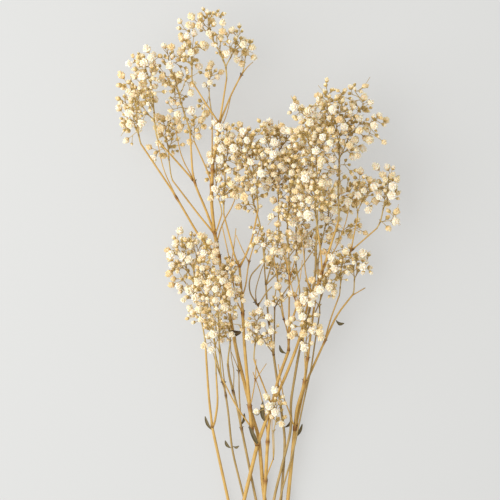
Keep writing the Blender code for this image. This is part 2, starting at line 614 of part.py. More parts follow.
def build_leaf(name, collection, finish):
    """A dry blade, seated beside its stem, and the balls that keep others clear of it."""
    stem, base, tip, width, arch = LEAVES[name]
    point, along, radius = nearest_on_stem(stem, Vector(base))
    out = Vector(tip) - point
    out = (out - out.dot(along) * along).normalized()
    seat = point + out * (radius + GAP + LEAF_THICKNESS / 2)
    way = Vector(tip) - seat
    normal = (out - out.dot(way.normalized()) * way.normalized()).normalized()
    across = way.normalized().cross(UP).normalized()
    bm = bmesh.new()
    bmesh.ops.create_grid(bm, x_segments=1, y_segments=LEAF_STEPS, size=1.0)
    for vert in bm.verts:
        side, part = vert.co.x, (vert.co.y + 1) / 2
        half = width / 2 * math.sin(math.pi * lerp(LEAF_FOOT, LEAF_POINT, part))
        rise = arch * math.sin(math.pi * part)
        vert.co = seat + way * part + normal * rise + across * side * half
    bmesh.ops.triangulate(bm, faces=bm.faces[:])
    to_real_size(bm)
    mesh = bpy.data.meshes.new(name)
    bm.to_mesh(mesh)
    bm.free()
    mesh.materials.append(finish)
    leaf = new_object(name, mesh, collection)
    blade = leaf.modifiers.new("blade", "SOLIDIFY")
    blade.thickness = LEAF_THICKNESS * MM
    blade.offset = 0.0
    middle_of_leaf = seat + way * 0.5 + normal * arch
    return beads(seat, middle_of_leaf, width / 2, width / 2) + beads(middle_of_leaf, Vector(tip), width / 2, 0.4)


def main():
    for thing in list(bpy.data.objects):
        bpy.data.objects.remove(thing)
    collection = bpy.data.collections.new("gypsophila_bunch")
    bpy.context.scene.collection.children.link(collection)
    finishes = {name: material(name) for name in COLOURS}
    space = Space()
    for name, (finish, branches) in STEMS.items():
        build_stem(name, finishes[finish], branches, collection)
        for radius_start, radius_end, _, points in branches:
            places = [Vector(point) for point in points]
            for index, (start, end) in enumerate(zip(places, places[1:])):
                low = lerp(radius_start, radius_end, index / (len(places) - 1))
                high = lerp(radius_start, radius_end, (index + 1) / (len(places) - 1))
                space.add_quietly(beads(start, end, low, high))
    for name in LEAVES:
        space.add_quietly(build_leaf(name, collection, finishes["dry_leaf"]))
    space.settle()
    rng = random.Random(SEED)
    for name, (stem, branch, clusters) in SPRAYS.items():
        tip, heading = stem_tip(stem, branch)
        root = tip + heading * GAP
        blooms = draw_blooms(rng, clusters, space)
        own = []
        twig = grow(root, heading, blooms, rng, space, own, root)
        root_radius = STEMS[stem][1][branch][1] * 1.1
        build_spray(name, twig, root_radius, collection, finishes["cream"])
        balls = [ball for other in all_twigs(twig) for ball in other["balls"]]
        balls += [other["bloom"][:2] for other in all_twigs(twig) if other["bloom"]]
        space.add(balls)


main()
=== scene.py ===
# Loose bunch of dried gypsophila, lying on a pale floor and seen from above
import math
import random

import bmesh
import bpy
from mathutils import Matrix, Vector
from mathutils.kdtree import KDTree


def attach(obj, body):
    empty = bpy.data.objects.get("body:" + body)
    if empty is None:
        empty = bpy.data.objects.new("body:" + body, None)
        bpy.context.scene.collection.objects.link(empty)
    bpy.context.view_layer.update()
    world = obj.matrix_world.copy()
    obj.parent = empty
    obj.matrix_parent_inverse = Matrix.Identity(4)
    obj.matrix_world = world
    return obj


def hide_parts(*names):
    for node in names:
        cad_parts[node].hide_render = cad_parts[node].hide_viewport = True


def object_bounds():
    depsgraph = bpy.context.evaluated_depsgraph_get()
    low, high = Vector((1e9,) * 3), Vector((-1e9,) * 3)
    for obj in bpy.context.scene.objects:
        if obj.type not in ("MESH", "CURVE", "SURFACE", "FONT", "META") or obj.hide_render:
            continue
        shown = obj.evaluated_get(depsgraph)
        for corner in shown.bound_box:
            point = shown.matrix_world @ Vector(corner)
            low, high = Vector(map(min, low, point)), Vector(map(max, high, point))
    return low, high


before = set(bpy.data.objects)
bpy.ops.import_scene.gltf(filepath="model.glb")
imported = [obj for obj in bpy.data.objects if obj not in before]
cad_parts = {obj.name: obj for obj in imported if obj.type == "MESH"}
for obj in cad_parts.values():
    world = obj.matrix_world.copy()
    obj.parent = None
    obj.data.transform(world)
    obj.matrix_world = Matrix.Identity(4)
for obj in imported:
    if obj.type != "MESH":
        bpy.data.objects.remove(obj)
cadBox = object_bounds()
mm = 0.001
bodyName = "root"
print("frame loaded,", len(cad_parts), "nodes")


# The growth rule of the CAD sprays, in millimetres: it is repeated here so that every
# finer twig and bloom lies where its solid does
growth = {
    "seed": 43,
    "gap": 0.3,
    "density": 1.08,
    "tipRadius": 0.34,
    "thickening": 0.045,
    "shortest": 1.6,
    "beadStep": 0.9,
    "ownGap": 0.15,
    "otherGap": 0.5,
    "forkReach": 2.4,
    "forkBend": 0.1,
    "forkShares": (0.45, 0.55, 0.65, 0.75),
    "shedShare": 0.6,
    "narrowest": math.radians(34),
    "tries": 14,
    "widestTurn": math.radians(72),
    "rootClear": 1.8,
    "press": 0.45,
    "fewest": 2,
    "drawsEach": 40,
    "roomSpread": (0.9, 1.1),
    "patience": 4,
}

bloomKinds = {
    "bloom": {"radius": (2.5, 3.2), "cup": 0.75},
    "bud": {"radius": (1.65, 2.05), "cup": 0.95},
    "seed": {"radius": (1.25, 1.5), "cup": 1.1},
}
kindOdds = (("bloom", 0.3), ("bud", 0.65), ("seed", 1.0))

# Stems: for each branch its radius at the start and the end, and the points it runs through
stemRoutes = {
    "stem_a": (
        (1.0, 0.85, ((10, -214, 0.72), (-2, -160, 0.95), (-14.5, -100, 2.8), (-20, -74, 4.2),
                        (-26.5, -44, 8), (-29, -32, 10))),
        (0.75, 0.6, ((-29, -32, 10), (-31, -14, 13.5), (-32.5, 10, 17), (-33, 20, 18))),
        (0.7, 0.5, ((-29, -32, 10), (-27.5, -29, 11), (-25.5, -17, 14), (-26.5, 1, 17.5))),
    ),
    "stem_b": (
        (0.8, 0.6, ((18.5, -212, 0.55), (3, -130, 1.0), (-10.2, -74, 3), (-17.1, -46, 6.2),
                       (-19.2, -23, 10), (-21.3, -8.6, 12.5), (-24, 0.4, 14.5))),
    ),
    "stem_c": (
        (0.95, 0.7, ((24, -216, 0.68), (14.5, -160, 0.95), (-3, -74, 2.8), (-7.8, -50, 5),
                        (-11.4, -32, 8), (-13.5, -21, 9.5), (-18.6, -1, 12.5), (-19.5, 6.4, 13.5))),
    ),
    "stem_g": (
        (1.3, 0.95, ((29.5, -218, 0.98), (12.5, -130, 1.3), (2.4, -74, 3), (-0.6, -38, 5.8),
                        (-4.8, -25, 7.3), (-8.4, -9, 8.6), (-13.8, 12, 11), (-24.6, 71, 20),
                        (-27.3, 85.6, 24), (-29.4, 106, 31), (-28.2, 127, 36))),
        (0.75, 0.5, ((-24.6, 71, 20), (-36, 83, 23), (-51, 109, 28), (-71.4, 139.6, 32))),
        (0.6, 0.45, ((-27.3, 85.6, 24), (-36, 96, 25), (-52.8, 118, 23))),
        (0.8, 0.5, ((-27.3, 85.6, 24), (-32.4, 100, 29), (-40.2, 118, 34), (-41.7, 146.2, 38.5))),
        (0.6, 0.45, ((-40.2, 118, 34), (-48.6, 127.6, 38), (-60.6, 140.8, 43))),
        (0.5, 0.4, ((-29.1, 116, 33.4), (-31.8, 124, 32), (-39.6, 141.4, 29))),
        (0.5, 0.4, ((-28.6, 125, 35.5), (-28.6, 140, 34), (-28.6, 155, 34))),
        (0.75, 0.6, ((-28.2, 127, 36), (-25.8, 142, 39), (-24.3, 151.3, 40.5))),
        (0.55, 0.45, ((-24.3, 151.3, 40.5), (-33, 164.2, 43), (-40.2, 175.6, 45))),
        (0.6, 0.45, ((-24.3, 151.3, 40.5), (-22.2, 163, 42), (-19.8, 178, 44.5))),
        (0.6, 0.45, ((-24.3, 151.3, 40.5), (-16.8, 169.6, 39), (-10.2, 182.2, 38))),
        (0.5, 0.4, ((-27.3, 85.6, 24), (-25.8, 88.5, 27), (-22.8, 98, 29))),
    ),
    "stem_f": (
        (1.3, 1.15, ((-34.5, -216, 0.98), (-26.5, -160, 3.0), (-15, -100, 5.4), (-9, -74, 6.4),
                        (-1.5, -43, 8))),
        (1.15, 0.75, ((-1.5, -43, 8), (-4.8, -36, 10), (-6.6, -14, 14), (-9.6, 21, 21.5),
                         (-10.8, 46, 27), (-12.3, 65.8, 32))),
        (0.6, 0.45, ((-12.3, 65.8, 32), (-15, 71.8, 33), (-21.6, 97, 37))),
        (0.65, 0.5, ((-12.3, 65.8, 32), (-9, 71.8, 34), (-4.8, 82, 37), (-1.2, 100, 42))),
        (1.05, 0.6, ((-1.5, -43, 8), (6, -21, 14), (15, -2, 18), (24, 22, 22.5), (29.4, 46, 29),
                        (34.8, 55, 32), (46.8, 94, 43))),
        (0.6, 0.4, ((35.6, 58, 33), (51, 72.4, 31), (70.2, 89.2, 33))),
        (0.45, 0.4, ((54.6, 75.6, 31.4), (56.4, 86, 32), (58.2, 94, 33))),
        (0.5, 0.4, ((-5.2, -32, 11.1), (-14.4, -19, 15), (-23, -1.4, 21))),
        (0.55, 0.45, ((37.2, 63, 34.8), (36, 75, 42), (34, 88, 50))),
    ),
    "stem_h": (
        (1.2, 0.9, ((-12, -218, 1.9), (-5.5, -160, 3.45), (3, -74, 5.65), (5.4, -29, 10.4),
                       (10.2, -5, 13), (17.4, 15, 17))),
        (0.75, 0.55, ((17.4, 15, 17), (17.4, 25, 19), (19.8, 35, 21), (24, 47, 24))),
        (0.6, 0.45, ((17.4, 25, 19), (17.7, 47, 22), (17.7, 64, 26))),
        (0.45, 0.4, ((17.4, 23, 18.6), (15.6, 31, 20), (13.5, 37, 21))),
        (0.5, 0.45, ((6.9, -18, 11.3), (4.8, -13, 13.2), (-1.8, 4, 18.5), (-3.6, 10, 20.5))),
        (0.45, 0.4, ((3.5, -64, 6.7), (6, -57, 8), (8.4, -51, 9))),
    ),
    "stem_n": (
        (0.95, 0.7, ((-8.5, -220, 1.6), (-2, -160, 3.2), (4.8, -100, 4.55), (9, -74, 5.9),
                        (19.2, -33, 12.5), (18.6, -17, 14), (23.4, 13, 17.5), (30, 39, 21.5),
                        (33.6, 64, 26), (33.6, 76, 29))),
    ),
    "stem_l": (
        (0.65, 0.45, ((-4, -212, 2.2), (1.5, -160, 3.05), (8.3, -100, 4.4), (12.6, -74, 7.7),
                         (20.4, -47, 11.8), (26.4, -17, 13.2), (31.2, 4, 14.6), (33.6, 21, 14.4),
                         (36.5, 38, 13))),
    ),
    "stem_j": (
        (0.95, 0.75, ((2, -214, 2.6), (6.5, -160, 3.5), (13.2, -74, 5.0), (15, -50, 6.8),
                         (15.3, -38, 7.5), (10.2, -1, 10.5), (8.4, 12, 11.5))),
        (0.65, 0.55, ((8.4, 12, 11.5), (4.8, 37, 17), (3.6, 55, 21))),
        (0.45, 0.4, ((3.6, 55, 21), (3, 61, 23), (2.4, 72, 26))),
        (0.45, 0.4, ((3.6, 55, 21), (6, 64, 24), (11, 80, 29))),
        (0.5, 0.4, ((8.4, 12, 11.5), (8.7, 19, 13), (9, 47, 19))),
        (0.45, 0.4, ((5.2, 33, 16.1), (1.5, 38, 19), (-1.2, 42.4, 21), (-6, 50, 25),
                        (-6.6, 56, 27), (-5.4, 61, 29), (1.8, 69, 31.5))),
        (0.4, 0.4, ((-1.2, 42.4, 21), (4.2, 51, 25), (7.2, 54, 27))),
    ),
    "stem_m": (
        (1.3, 1.1, ((5.5, -218, 3.4), (10, -160, 3.5), (17.4, -74, 5.6), (21.3, -34, 10))),
        (0.9, 0.5, ((21.3, -34, 10), (27, -7, 11.4), (36, 13, 14), (46.2, 36.4, 20),
                       (56.4, 49.6, 23))),
        (0.35, 0.3, ((55.6, 48.6, 22.8), (63.6, 53.2, 23.5))),
        (0.5, 0.4, ((39.6, 22, 16.2), (42.6, 34, 20), (48, 49, 24))),
        (0.95, 0.6, ((21.3, -34, 10), (22.2, -21, 13), (27, -5, 17.5), (30.6, 25, 22.5),
                        (32.4, 40, 25), (34.8, 55, 28))),
        (0.5, 0.4, ((27, -5, 17.5), (27.5, 4, 22), (27, 11, 26))),
    ),
}

# Sprays: the stem and the branch whose tip carries it, then its clusters of blooms,
# each with its centre, half sizes and number
sprayPlans = {
    "spray_a_left": ("stem_a", 1, (((-48, 72, 11), (9, 14, 11), 16), ((-42, 52, 10), (6, 15, 10), 12),
                                   ((-38, 80, 24), (10, 9, 9), 13))),
    "spray_a_right": ("stem_a", 2, (((-33, 64, 36), (8, 13, 8), 15), ((-33, 40, 34), (7, 11, 8), 10))),
    "spray_b": ("stem_b", 0, (((-32, 50, 7), (8, 15, 7), 12), ((-27, 27, 8), (6, 9, 6), 7))),
    "spray_c": ("stem_c", 0, (((-20, 62, 31), (7, 12, 9), 14), ((-18, 46, 29), (6, 7, 7), 8),
                              ((-21, 30, 24), (7, 8, 6), 8))),
    "spray_d": ("stem_f", 7, (((-25, 52, 47), (9, 13, 6), 12), ((-27, 30, 40), (8, 9, 6), 8))),
    "spray_g_outer": ("stem_g", 1, (((-80, 160, 25), (7, 14, 14), 16), ((-74, 176, 36), (8, 8, 9), 8))),
    "spray_g_side": ("stem_g", 4, (((-68, 168, 48), (9, 14, 10), 20), ((-66, 184, 44), (9, 8, 8), 8))),
    "spray_g_middle": ("stem_g", 3, (((-50, 176, 38), (9, 14, 11), 20), ((-56, 190, 36), (8, 8, 8), 8))),
    "spray_g_low": ("stem_g", 2, (((-57, 148, 10), (8, 12, 9), 12),)),
    "spray_g_inner": ("stem_g", 5, (((-41, 152, 26), (6, 7, 6), 6),)),
    "spray_g_slim": ("stem_g", 6, (((-30, 178, 33), (5, 12, 6), 7),)),
    "spray_g_fork_left": ("stem_g", 8, (((-42, 196, 45), (7, 13, 9), 15),)),
    "spray_g_fork_top": ("stem_g", 9, (((-33, 212, 44), (9, 8, 8), 12), ((-24, 200, 46), (6, 9, 7), 8),
                                       ((-11, 202, 42), (6, 6, 6), 7))),
    "spray_g_fork_right": ("stem_g", 10, (((-8, 200, 32), (5, 7, 5), 5),)),
    "spray_g_column": ("stem_g", 11, (((-26, 128, 26), (6, 14, 8), 10),)),
    "spray_f_left": ("stem_f", 2, (((-22, 138, 42), (8, 14, 10), 18), ((-18, 114, 44), (7, 8, 7), 7))),
    "spray_f_middle": ("stem_f", 3, (((-8, 140, 44), (9, 12, 10), 18), ((4, 132, 48), (8, 12, 8), 12),
                                     ((-7, 118, 46), (7, 7, 7), 7))),
    "spray_f_right": ("stem_f", 4, (((48, 128, 46), (10, 14, 10), 20), ((56, 150, 44), (9, 13, 9), 13),
                                    ((44, 158, 50), (10, 12, 8), 13))),
    "spray_f_front": ("stem_f", 8, (((32, 112, 62), (10, 14, 8), 14), ((30, 140, 60), (11, 14, 9), 14))),
    "spray_f_far": ("stem_f", 5, (((78, 113, 34), (7, 11, 9), 12), ((79, 96, 33), (4, 4, 4), 2))),
    "spray_f_far_low": ("stem_f", 6, (((60, 112, 33), (8, 9, 8), 10),)),
    "spray_j_left": ("stem_j", 2, (((-6, 110, 26), (8, 13, 8), 12), ((-10, 135, 24), (9, 10, 8), 8))),
    "spray_j_right": ("stem_j", 3, (((8, 120, 28), (8, 16, 10), 16), ((14, 143, 32), (7, 10, 8), 9))),
    "spray_j_curl": ("stem_j", 5, (((6, 84, 40), (7, 8, 7), 9),)),
    "spray_j_low": ("stem_j", 4, (((12, 66, 15), (8, 10, 7), 7),)),
    "spray_h_left": ("stem_h", 1, (((22, 92, 24), (9, 14, 9), 14), ((22, 124, 16), (10, 16, 11), 16))),
    "spray_h_right": ("stem_h", 2, (((17, 104, 42), (8, 13, 9), 13), ((20, 132, 44), (8, 13, 9), 11))),
    "spray_h_small": ("stem_h", 3, (((12.5, 46, 24), (5, 4, 4), 4),)),
    "spray_h_curved": ("stem_h", 4, (((1, 26, 28), (8, 8, 7), 9), ((-3, 38, 30), (6, 4, 4), 5))),
    "spray_h_base": ("stem_h", 5, (((9, -17, 21), (5, 8, 3), 5),)),
    "spray_n": ("stem_n", 0, (((33, 115, 28), (9, 16, 9), 16), ((36, 146, 34), (10, 13, 9), 14))),
    "spray_l": ("stem_l", 0, (((39, 58, 6), (8, 9, 7), 10), ((33, 52, 6), (7, 8, 6), 6))),
    "spray_m_left": ("stem_m", 4, (((46, 100, 13), (9, 14, 12), 12), ((30, 84, 9), (8, 9, 8), 6))),
    "spray_m_right": ("stem_m", 1, (((58, 70, 24), (7, 8, 8), 10),)),
    "spray_m_middle": ("stem_m", 3, (((48, 66, 30), (8, 9, 8), 12),)),
    "spray_m_front": ("stem_m", 5, (((28, 28, 34), (6, 10, 5), 8),)),
}

# Leaves: the stem, the place on it, the leaf's tip, its width and how far it arches out
leafRule = {"thickness": 0.7, "foot": 0.06, "point": 0.95, "tipRadius": 0.4}
leafPlans = {
    "leaf_f_joint": ("stem_f", (-2.4, -43, 8.4), (-6.6, -31, 15.5), 2.8, 0.5),
    "leaf_f_tongue": ("stem_f", (-5.8, -23.6, 12.4), (0.4, -21.6, 14), 3.0, 0.6),
    "leaf_f_long": ("stem_f", (3.4, -28.5, 12.4), (1.8, -15.5, 19.5), 2.8, 0.8),
    "leaf_f_dark": ("stem_f", (-9.7, 26, 22.6), (-19, 27.6, 25.5), 3.8, 1.0),
    "leaf_h_fork": ("stem_h", (16.6, 12.6, 16.4), (11.8, 18.5, 20.5), 2.6, 0.9),
    "leaf_j_curl": ("stem_j", (14.6, -33, 7.8), (19.6, -26.5, 5), 2.8, 1.2),
    "leaf_m_joint": ("stem_m", (20.6, -38.5, 9.6), (26, -30.5, 5), 2.6, 0.9),
    "leaf_m_curl": ("stem_m", (44.8, 33, 19.2), (51.2, 31.5, 15.5), 2.8, 1.0),
    "leaf_b_left": ("stem_b", (-17.2, -45.4, 6.3), (-21.2, -40.5, 6), 2.6, 0.5),
    "leaf_b_right": ("stem_b", (-17.2, -44.6, 6.3), (-12.6, -43.5, 9.5), 2.2, 0.5),
    "leaf_a_joint": ("stem_a", (-28.6, -33.6, 9.7), (-33.4, -25.4, 9.5), 2.6, 0.6),
    "leaf_c_joint": ("stem_c", (-11.6, -31.3, 8), (-9.5, -24, 3.6), 2.4, 0.8),
}


def lerp(low, high, part):
    return low + (high - low) * part


def beads(start, end, radiusStart, radiusEnd):
    length = (end - start).length
    count = max(2, int(length / growth["beadStep"]) + 2)
    parts = [index / (count - 1) for index in range(count)]
    return [(start.lerp(end, part), lerp(radiusStart, radiusEnd, part)) for part in parts]


class Space:
    # the balls of everything that is already in place

    def __init__(self):
        self.balls = []
        self.tree = None
        self.widest = 0.0

    def add(self, balls):
        self.balls += balls

    def settle(self):
        self.widest = max(ball[1] for ball in self.balls)
        self.tree = KDTree(len(self.balls))
        for index, ball in enumerate(self.balls):
            self.tree.insert(ball[0], index)
        self.tree.balance()

    def hit(self, balls, gap):
        for point, radius in balls:
            for _, index, distance in self.tree.find_range(point, radius + self.widest + gap):
                if distance < radius + self.balls[index][1] + gap:
                    return True
        return False


def drawKind(rng, odds):
    share = rng.random()
    return next(kind for kind, limit in odds if share < limit)


def drawRadius(rng, kind):
    return lerp(*bloomKinds[kind]["radius"], rng.random())


def drawOffset(rng):
    return Vector([rng.uniform(-1, 1) for _ in range(3)])


def placeIn(centre, halves, offset):
    # the place in a cluster for an offset between -1 and 1
    return Vector(centre) + Vector([o * h for o, h in zip(offset, halves)])


def drawBlooms(rng, clusters, space):
    # seeded places for a spray's blooms, apart from each other and from what stands
    blooms = []
    for centre, halves, count in clusters:
        wanted = len(blooms) + max(growth["fewest"], round(count * growth["density"]))
        for _ in range(count * growth["drawsEach"]):
            if len(blooms) == wanted:
                break
            kind = drawKind(rng, kindOdds)
            radius = drawRadius(rng, kind)
            offset = drawOffset(rng)
            if offset.length > 1.0:
                continue
            place = placeIn(centre, halves, offset)
            place.z = max(place.z, growth["press"] * radius)
            if space.hit([(place, radius)], growth["otherGap"]):
                continue
            if any((place - other[0]).length < radius + other[1] + growth["ownGap"] for other in blooms):
                continue
            blooms.append((place, radius, kind))
    return blooms


def twigRadius(carried):
    return growth["tipRadius"] + growth["thickening"] * (math.sqrt(carried) - 1)


def middle(blooms):
    return sum((bloom[0] for bloom in blooms), Vector()) / len(blooms)


def bloomSeat(start, bloom):
    place, radius, kind = bloom
    return place - (place - start).normalized() * radius * bloomKinds[kind]["cup"]


def splitBlooms(start, blooms):
    # two groups round the two blooms that lie furthest apart as seen from a fork
    ways = [(bloom, (bloom[0] - start).normalized()) for bloom in blooms]
    heart = sum((way for _, way in ways), Vector()).normalized()
    first = min(ways, key=lambda pair: pair[1].dot(heart))
    last = min(ways, key=lambda pair: pair[1].dot(first[1]))
    near = [bloom for bloom, way in ways if way.dot(first[1]) >= way.dot(last[1])]
    return near, [bloom for bloom in blooms if bloom not in near]


def tooClose(balls, joint, own):
    for centre, reach, others in own:
        if (balls[len(balls) // 2][0] - centre).length > reach + growth["beadStep"] * len(balls):
            continue
        for point, radius in balls:
            if (point - joint).length < growth["forkReach"]:
                continue
            for place, wide in others:
                if (point - place).length < radius + wide + growth["ownGap"]:
                    return True
    return False


def forkOf(start, blooms, rng):
    # a twig forks where its blooms lie in two clear directions, or else sheds the nearest
    way = (middle(blooms) - start).normalized()
    bent = (way + drawOffset(rng) * growth["forkBend"]).normalized()
    nearest = min(blooms, key=lambda bloom: (bloom[0] - start).dot(way))
    room = (nearest[0] - start).dot(way) * rng.uniform(*growth["roomSpread"])
    for share in growth["forkShares"]:
        end = start + bent * room * share
        groups = splitBlooms(end, blooms)
        one, two = [middle(group) - end for group in groups]
        if one.angle(two) > growth["narrowest"]:
            return end, groups
    end = start + bent * room * growth["shedShare"]
    return end, ([nearest], [bloom for bloom in blooms if bloom is not nearest])


def newTwig(start, end, carried, balls, bloom=None, side=False):
    # a twig: how many blooms it carries, the balls it fills, and what grows from it
    return {"start": start, "end": end, "carried": carried, "balls": balls, "bloom": bloom,
            "kids": [], "sides": [], "side": side, "wide": False}


def reachable(start, heading, blooms):
    # the blooms that lie ahead and need no sharp turn
    kept = []
    for bloom in blooms:
        way = bloomSeat(start, bloom) - start
        ahead = (bloom[0] - start).dot(way) > 0
        if ahead and way.length >= growth["shortest"] and way.angle(heading) < growth["widestTurn"]:
            kept.append(bloom)
    return kept


def grow(start, heading, blooms, rng, space, own, root):
    # a twig with what it carries, a bloom or two more twigs, or None if it has no room
    blooms = reachable(start, heading, blooms)
    for attempt in range(growth["tries"]):
        if not blooms:
            return None
        single = len(blooms) == 1
        if single:
            end = bloomSeat(start, blooms[0])
        else:
            end, groups = forkOf(start, blooms, rng)
        way = end - start
        radius = twigRadius(len(blooms))
        balls = beads(start, end, radius, radius)
        free = [ball for ball in balls if (ball[0] - root).length > growth["rootClear"]]
        if way.length < growth["shortest"]:
            near = min(blooms, key=lambda bloom: (bloom[0] - start).length)
            blooms = [bloom for bloom in blooms if bloom is not near]
        elif space.hit(free, growth["otherGap"]) or tooClose(balls, start, own):
            if single or attempt % growth["patience"] == growth["patience"] - 1:
                blooms = blooms[1:]
        else:
            break
    else:
        return None
    own.append((balls[len(balls) // 2][0], way.length / 2 + radius, balls))
    twig = newTwig(start, end, len(blooms), balls)
    if single:
        twig["bloom"] = blooms[0]
        return twig
    kids = [grow(end, way, group, rng, space, own, root) for group in sorted(groups, key=len, reverse=True)]
    twig["kids"] = [kid for kid in kids if kid]
    return twig if twig["kids"] else None


def allTwigs(twig):
    return [twig] + [other for kid in twig["kids"] for other in allTwigs(kid)]


def nearestOnStem(stem, place):
    # the closest point on a stem's routes, the direction there and the radius
    best = None
    for radiusStart, radiusEnd, points in stemRoutes[stem]:
        places = [Vector(point) for point in points]
        for index, (start, end) in enumerate(zip(places, places[1:])):
            along = end - start
            part = min(1.0, max(0.0, (place - start).dot(along) / along.length_squared))
            point = start + along * part
            away = (place - point).length
            if best is None or away < best[0]:
                radius = lerp(radiusStart, radiusEnd, (index + part) / (len(places) - 1))
                best = (away, point, along.normalized(), radius)
    return best[1:]


def leafSeat(name):
    # where a leaf starts beside its stem, its way to the tip and its outward side
    stem, base, tip = leafPlans[name][:3]
    point, along, radius = nearestOnStem(stem, Vector(base))
    out = Vector(tip) - point
    out = (out - out.dot(along) * along).normalized()
    seat = point + out * (radius + growth["gap"] + leafRule["thickness"] / 2)
    way = Vector(tip) - seat
    normal = (out - out.dot(way.normalized()) * way.normalized()).normalized()
    return seat, way, normal


def leafBeads(name):
    tip, width, arch = leafPlans[name][2:]
    seat, way, normal = leafSeat(name)
    belly = seat + way * 0.5 + normal * arch
    broad = beads(seat, belly, width / 2, width / 2)
    return broad + beads(belly, Vector(tip), width / 2, leafRule["tipRadius"])


def growBunch():
    # the twigs of every spray, by its node's name, and the balls of all that stands
    space = Space()
    for branches in stemRoutes.values():
        for radiusStart, radiusEnd, points in branches:
            places = [Vector(point) for point in points]
            for index, (start, end) in enumerate(zip(places, places[1:])):
                low = lerp(radiusStart, radiusEnd, index / (len(places) - 1))
                high = lerp(radiusStart, radiusEnd, (index + 1) / (len(places) - 1))
                space.add(beads(start, end, low, high))
    for name in leafPlans:
        space.add(leafBeads(name))
    space.settle()
    rng = random.Random(growth["seed"])
    grown = {}
    for name, (stem, branch, clusters) in sprayPlans.items():
        points = stemRoutes[stem][branch][2]
        tip = Vector(points[-1])
        heading = (tip - Vector(points[-2])).normalized()
        root = tip + heading * growth["gap"]
        blooms = drawBlooms(rng, clusters, space)
        twig = grow(root, heading, blooms, rng, space, [], root)
        grown[name] = twig
        space.add([ball for other in allTwigs(twig) for ball in other["balls"]])
        space.add([other["bloom"][:2] for other in allTwigs(twig) if other["bloom"]])
        space.settle()
    return grown, space


grownSprays, space = growBunch()
bloomCount = sum(1 for root in grownSprays.values() for twig in allTwigs(root) if twig["bloom"])
print("sprays grown,", bloomCount, "blooms")


# Finer buds and blooms than those of the solids, on short stalks near the twigs' tips
sideBuds = {
    "rounds": 2,
    "spacing": {"spray_g": 9.5, "spray_f": 4.6, "spray_h": 4.8, "spray_n": 4.4, "spray_j": 5.2,
                "others": 7.5},
    "mostCarried": 5,
    "from": 0.3,
    "to": 0.96,
    "lean": (math.radians(30), math.radians(70)),
    "stalk": (2.2, 5.5),
    "stalkRadius": 0.2,
    "size": (0.84, 1.06),
    "odds": (("bloom", 0.46), ("bud", 0.8), ("seed", 1.0)),
    "gap": -0.1,
    "clear": 1.3,
    "tries": 6,
}


def leanedWay(way, lean, rng):
    # a direction turned away from another by an angle, to a random side
    side = way.orthogonal().normalized()
    side.rotate(Matrix.Rotation(rng.uniform(0, 2 * math.pi), 3, way))
    return (way.normalized() * math.cos(lean) + side * math.sin(lean)).normalized()


def insideBox(place, radius):
    low, high = [corner / mm for corner in cadBox]
    return all(low[axis] + radius <= place[axis] <= high[axis] - radius for axis in range(3))


def stalkedBloom(base, place, radius, kind, space, fresh):
    # a bloom and its stalk, or None if there is no room for them
    way = (place - base).normalized()
    end = place - way * radius * bloomKinds[kind]["cup"]
    stalk = beads(base, end, sideBuds["stalkRadius"], sideBuds["stalkRadius"])
    balls = [ball for ball in stalk if (ball[0] - base).length > sideBuds["clear"]]
    balls.append((place, radius))
    gap = sideBuds["gap"]
    if space.hit(balls, gap):
        return None
    if any((ball[0] - other[0]).length < ball[1] + other[1] + gap for ball in balls for other in fresh):
        return None
    return newTwig(base, end, 1, balls, (place, radius, kind), side=True)


def sideBudOn(twig, rng, space, fresh):
    # one more stalk with its bud on a twig, or None if there is no room for it
    way = twig["end"] - twig["start"]
    for _ in range(sideBuds["tries"]):
        base = twig["start"].lerp(twig["end"], rng.uniform(sideBuds["from"], sideBuds["to"]))
        heading = leanedWay(way, rng.uniform(*sideBuds["lean"]), rng)
        kind = drawKind(rng, sideBuds["odds"])
        radius = drawRadius(rng, kind) * rng.uniform(*sideBuds["size"])
        place = base + heading * (rng.uniform(*sideBuds["stalk"]) + radius * bloomKinds[kind]["cup"])
        bud = stalkedBloom(base, place, radius, kind, space, fresh) if insideBox(place, radius) else None
        if bud:
            fresh += bud["balls"]
            return bud
    return None


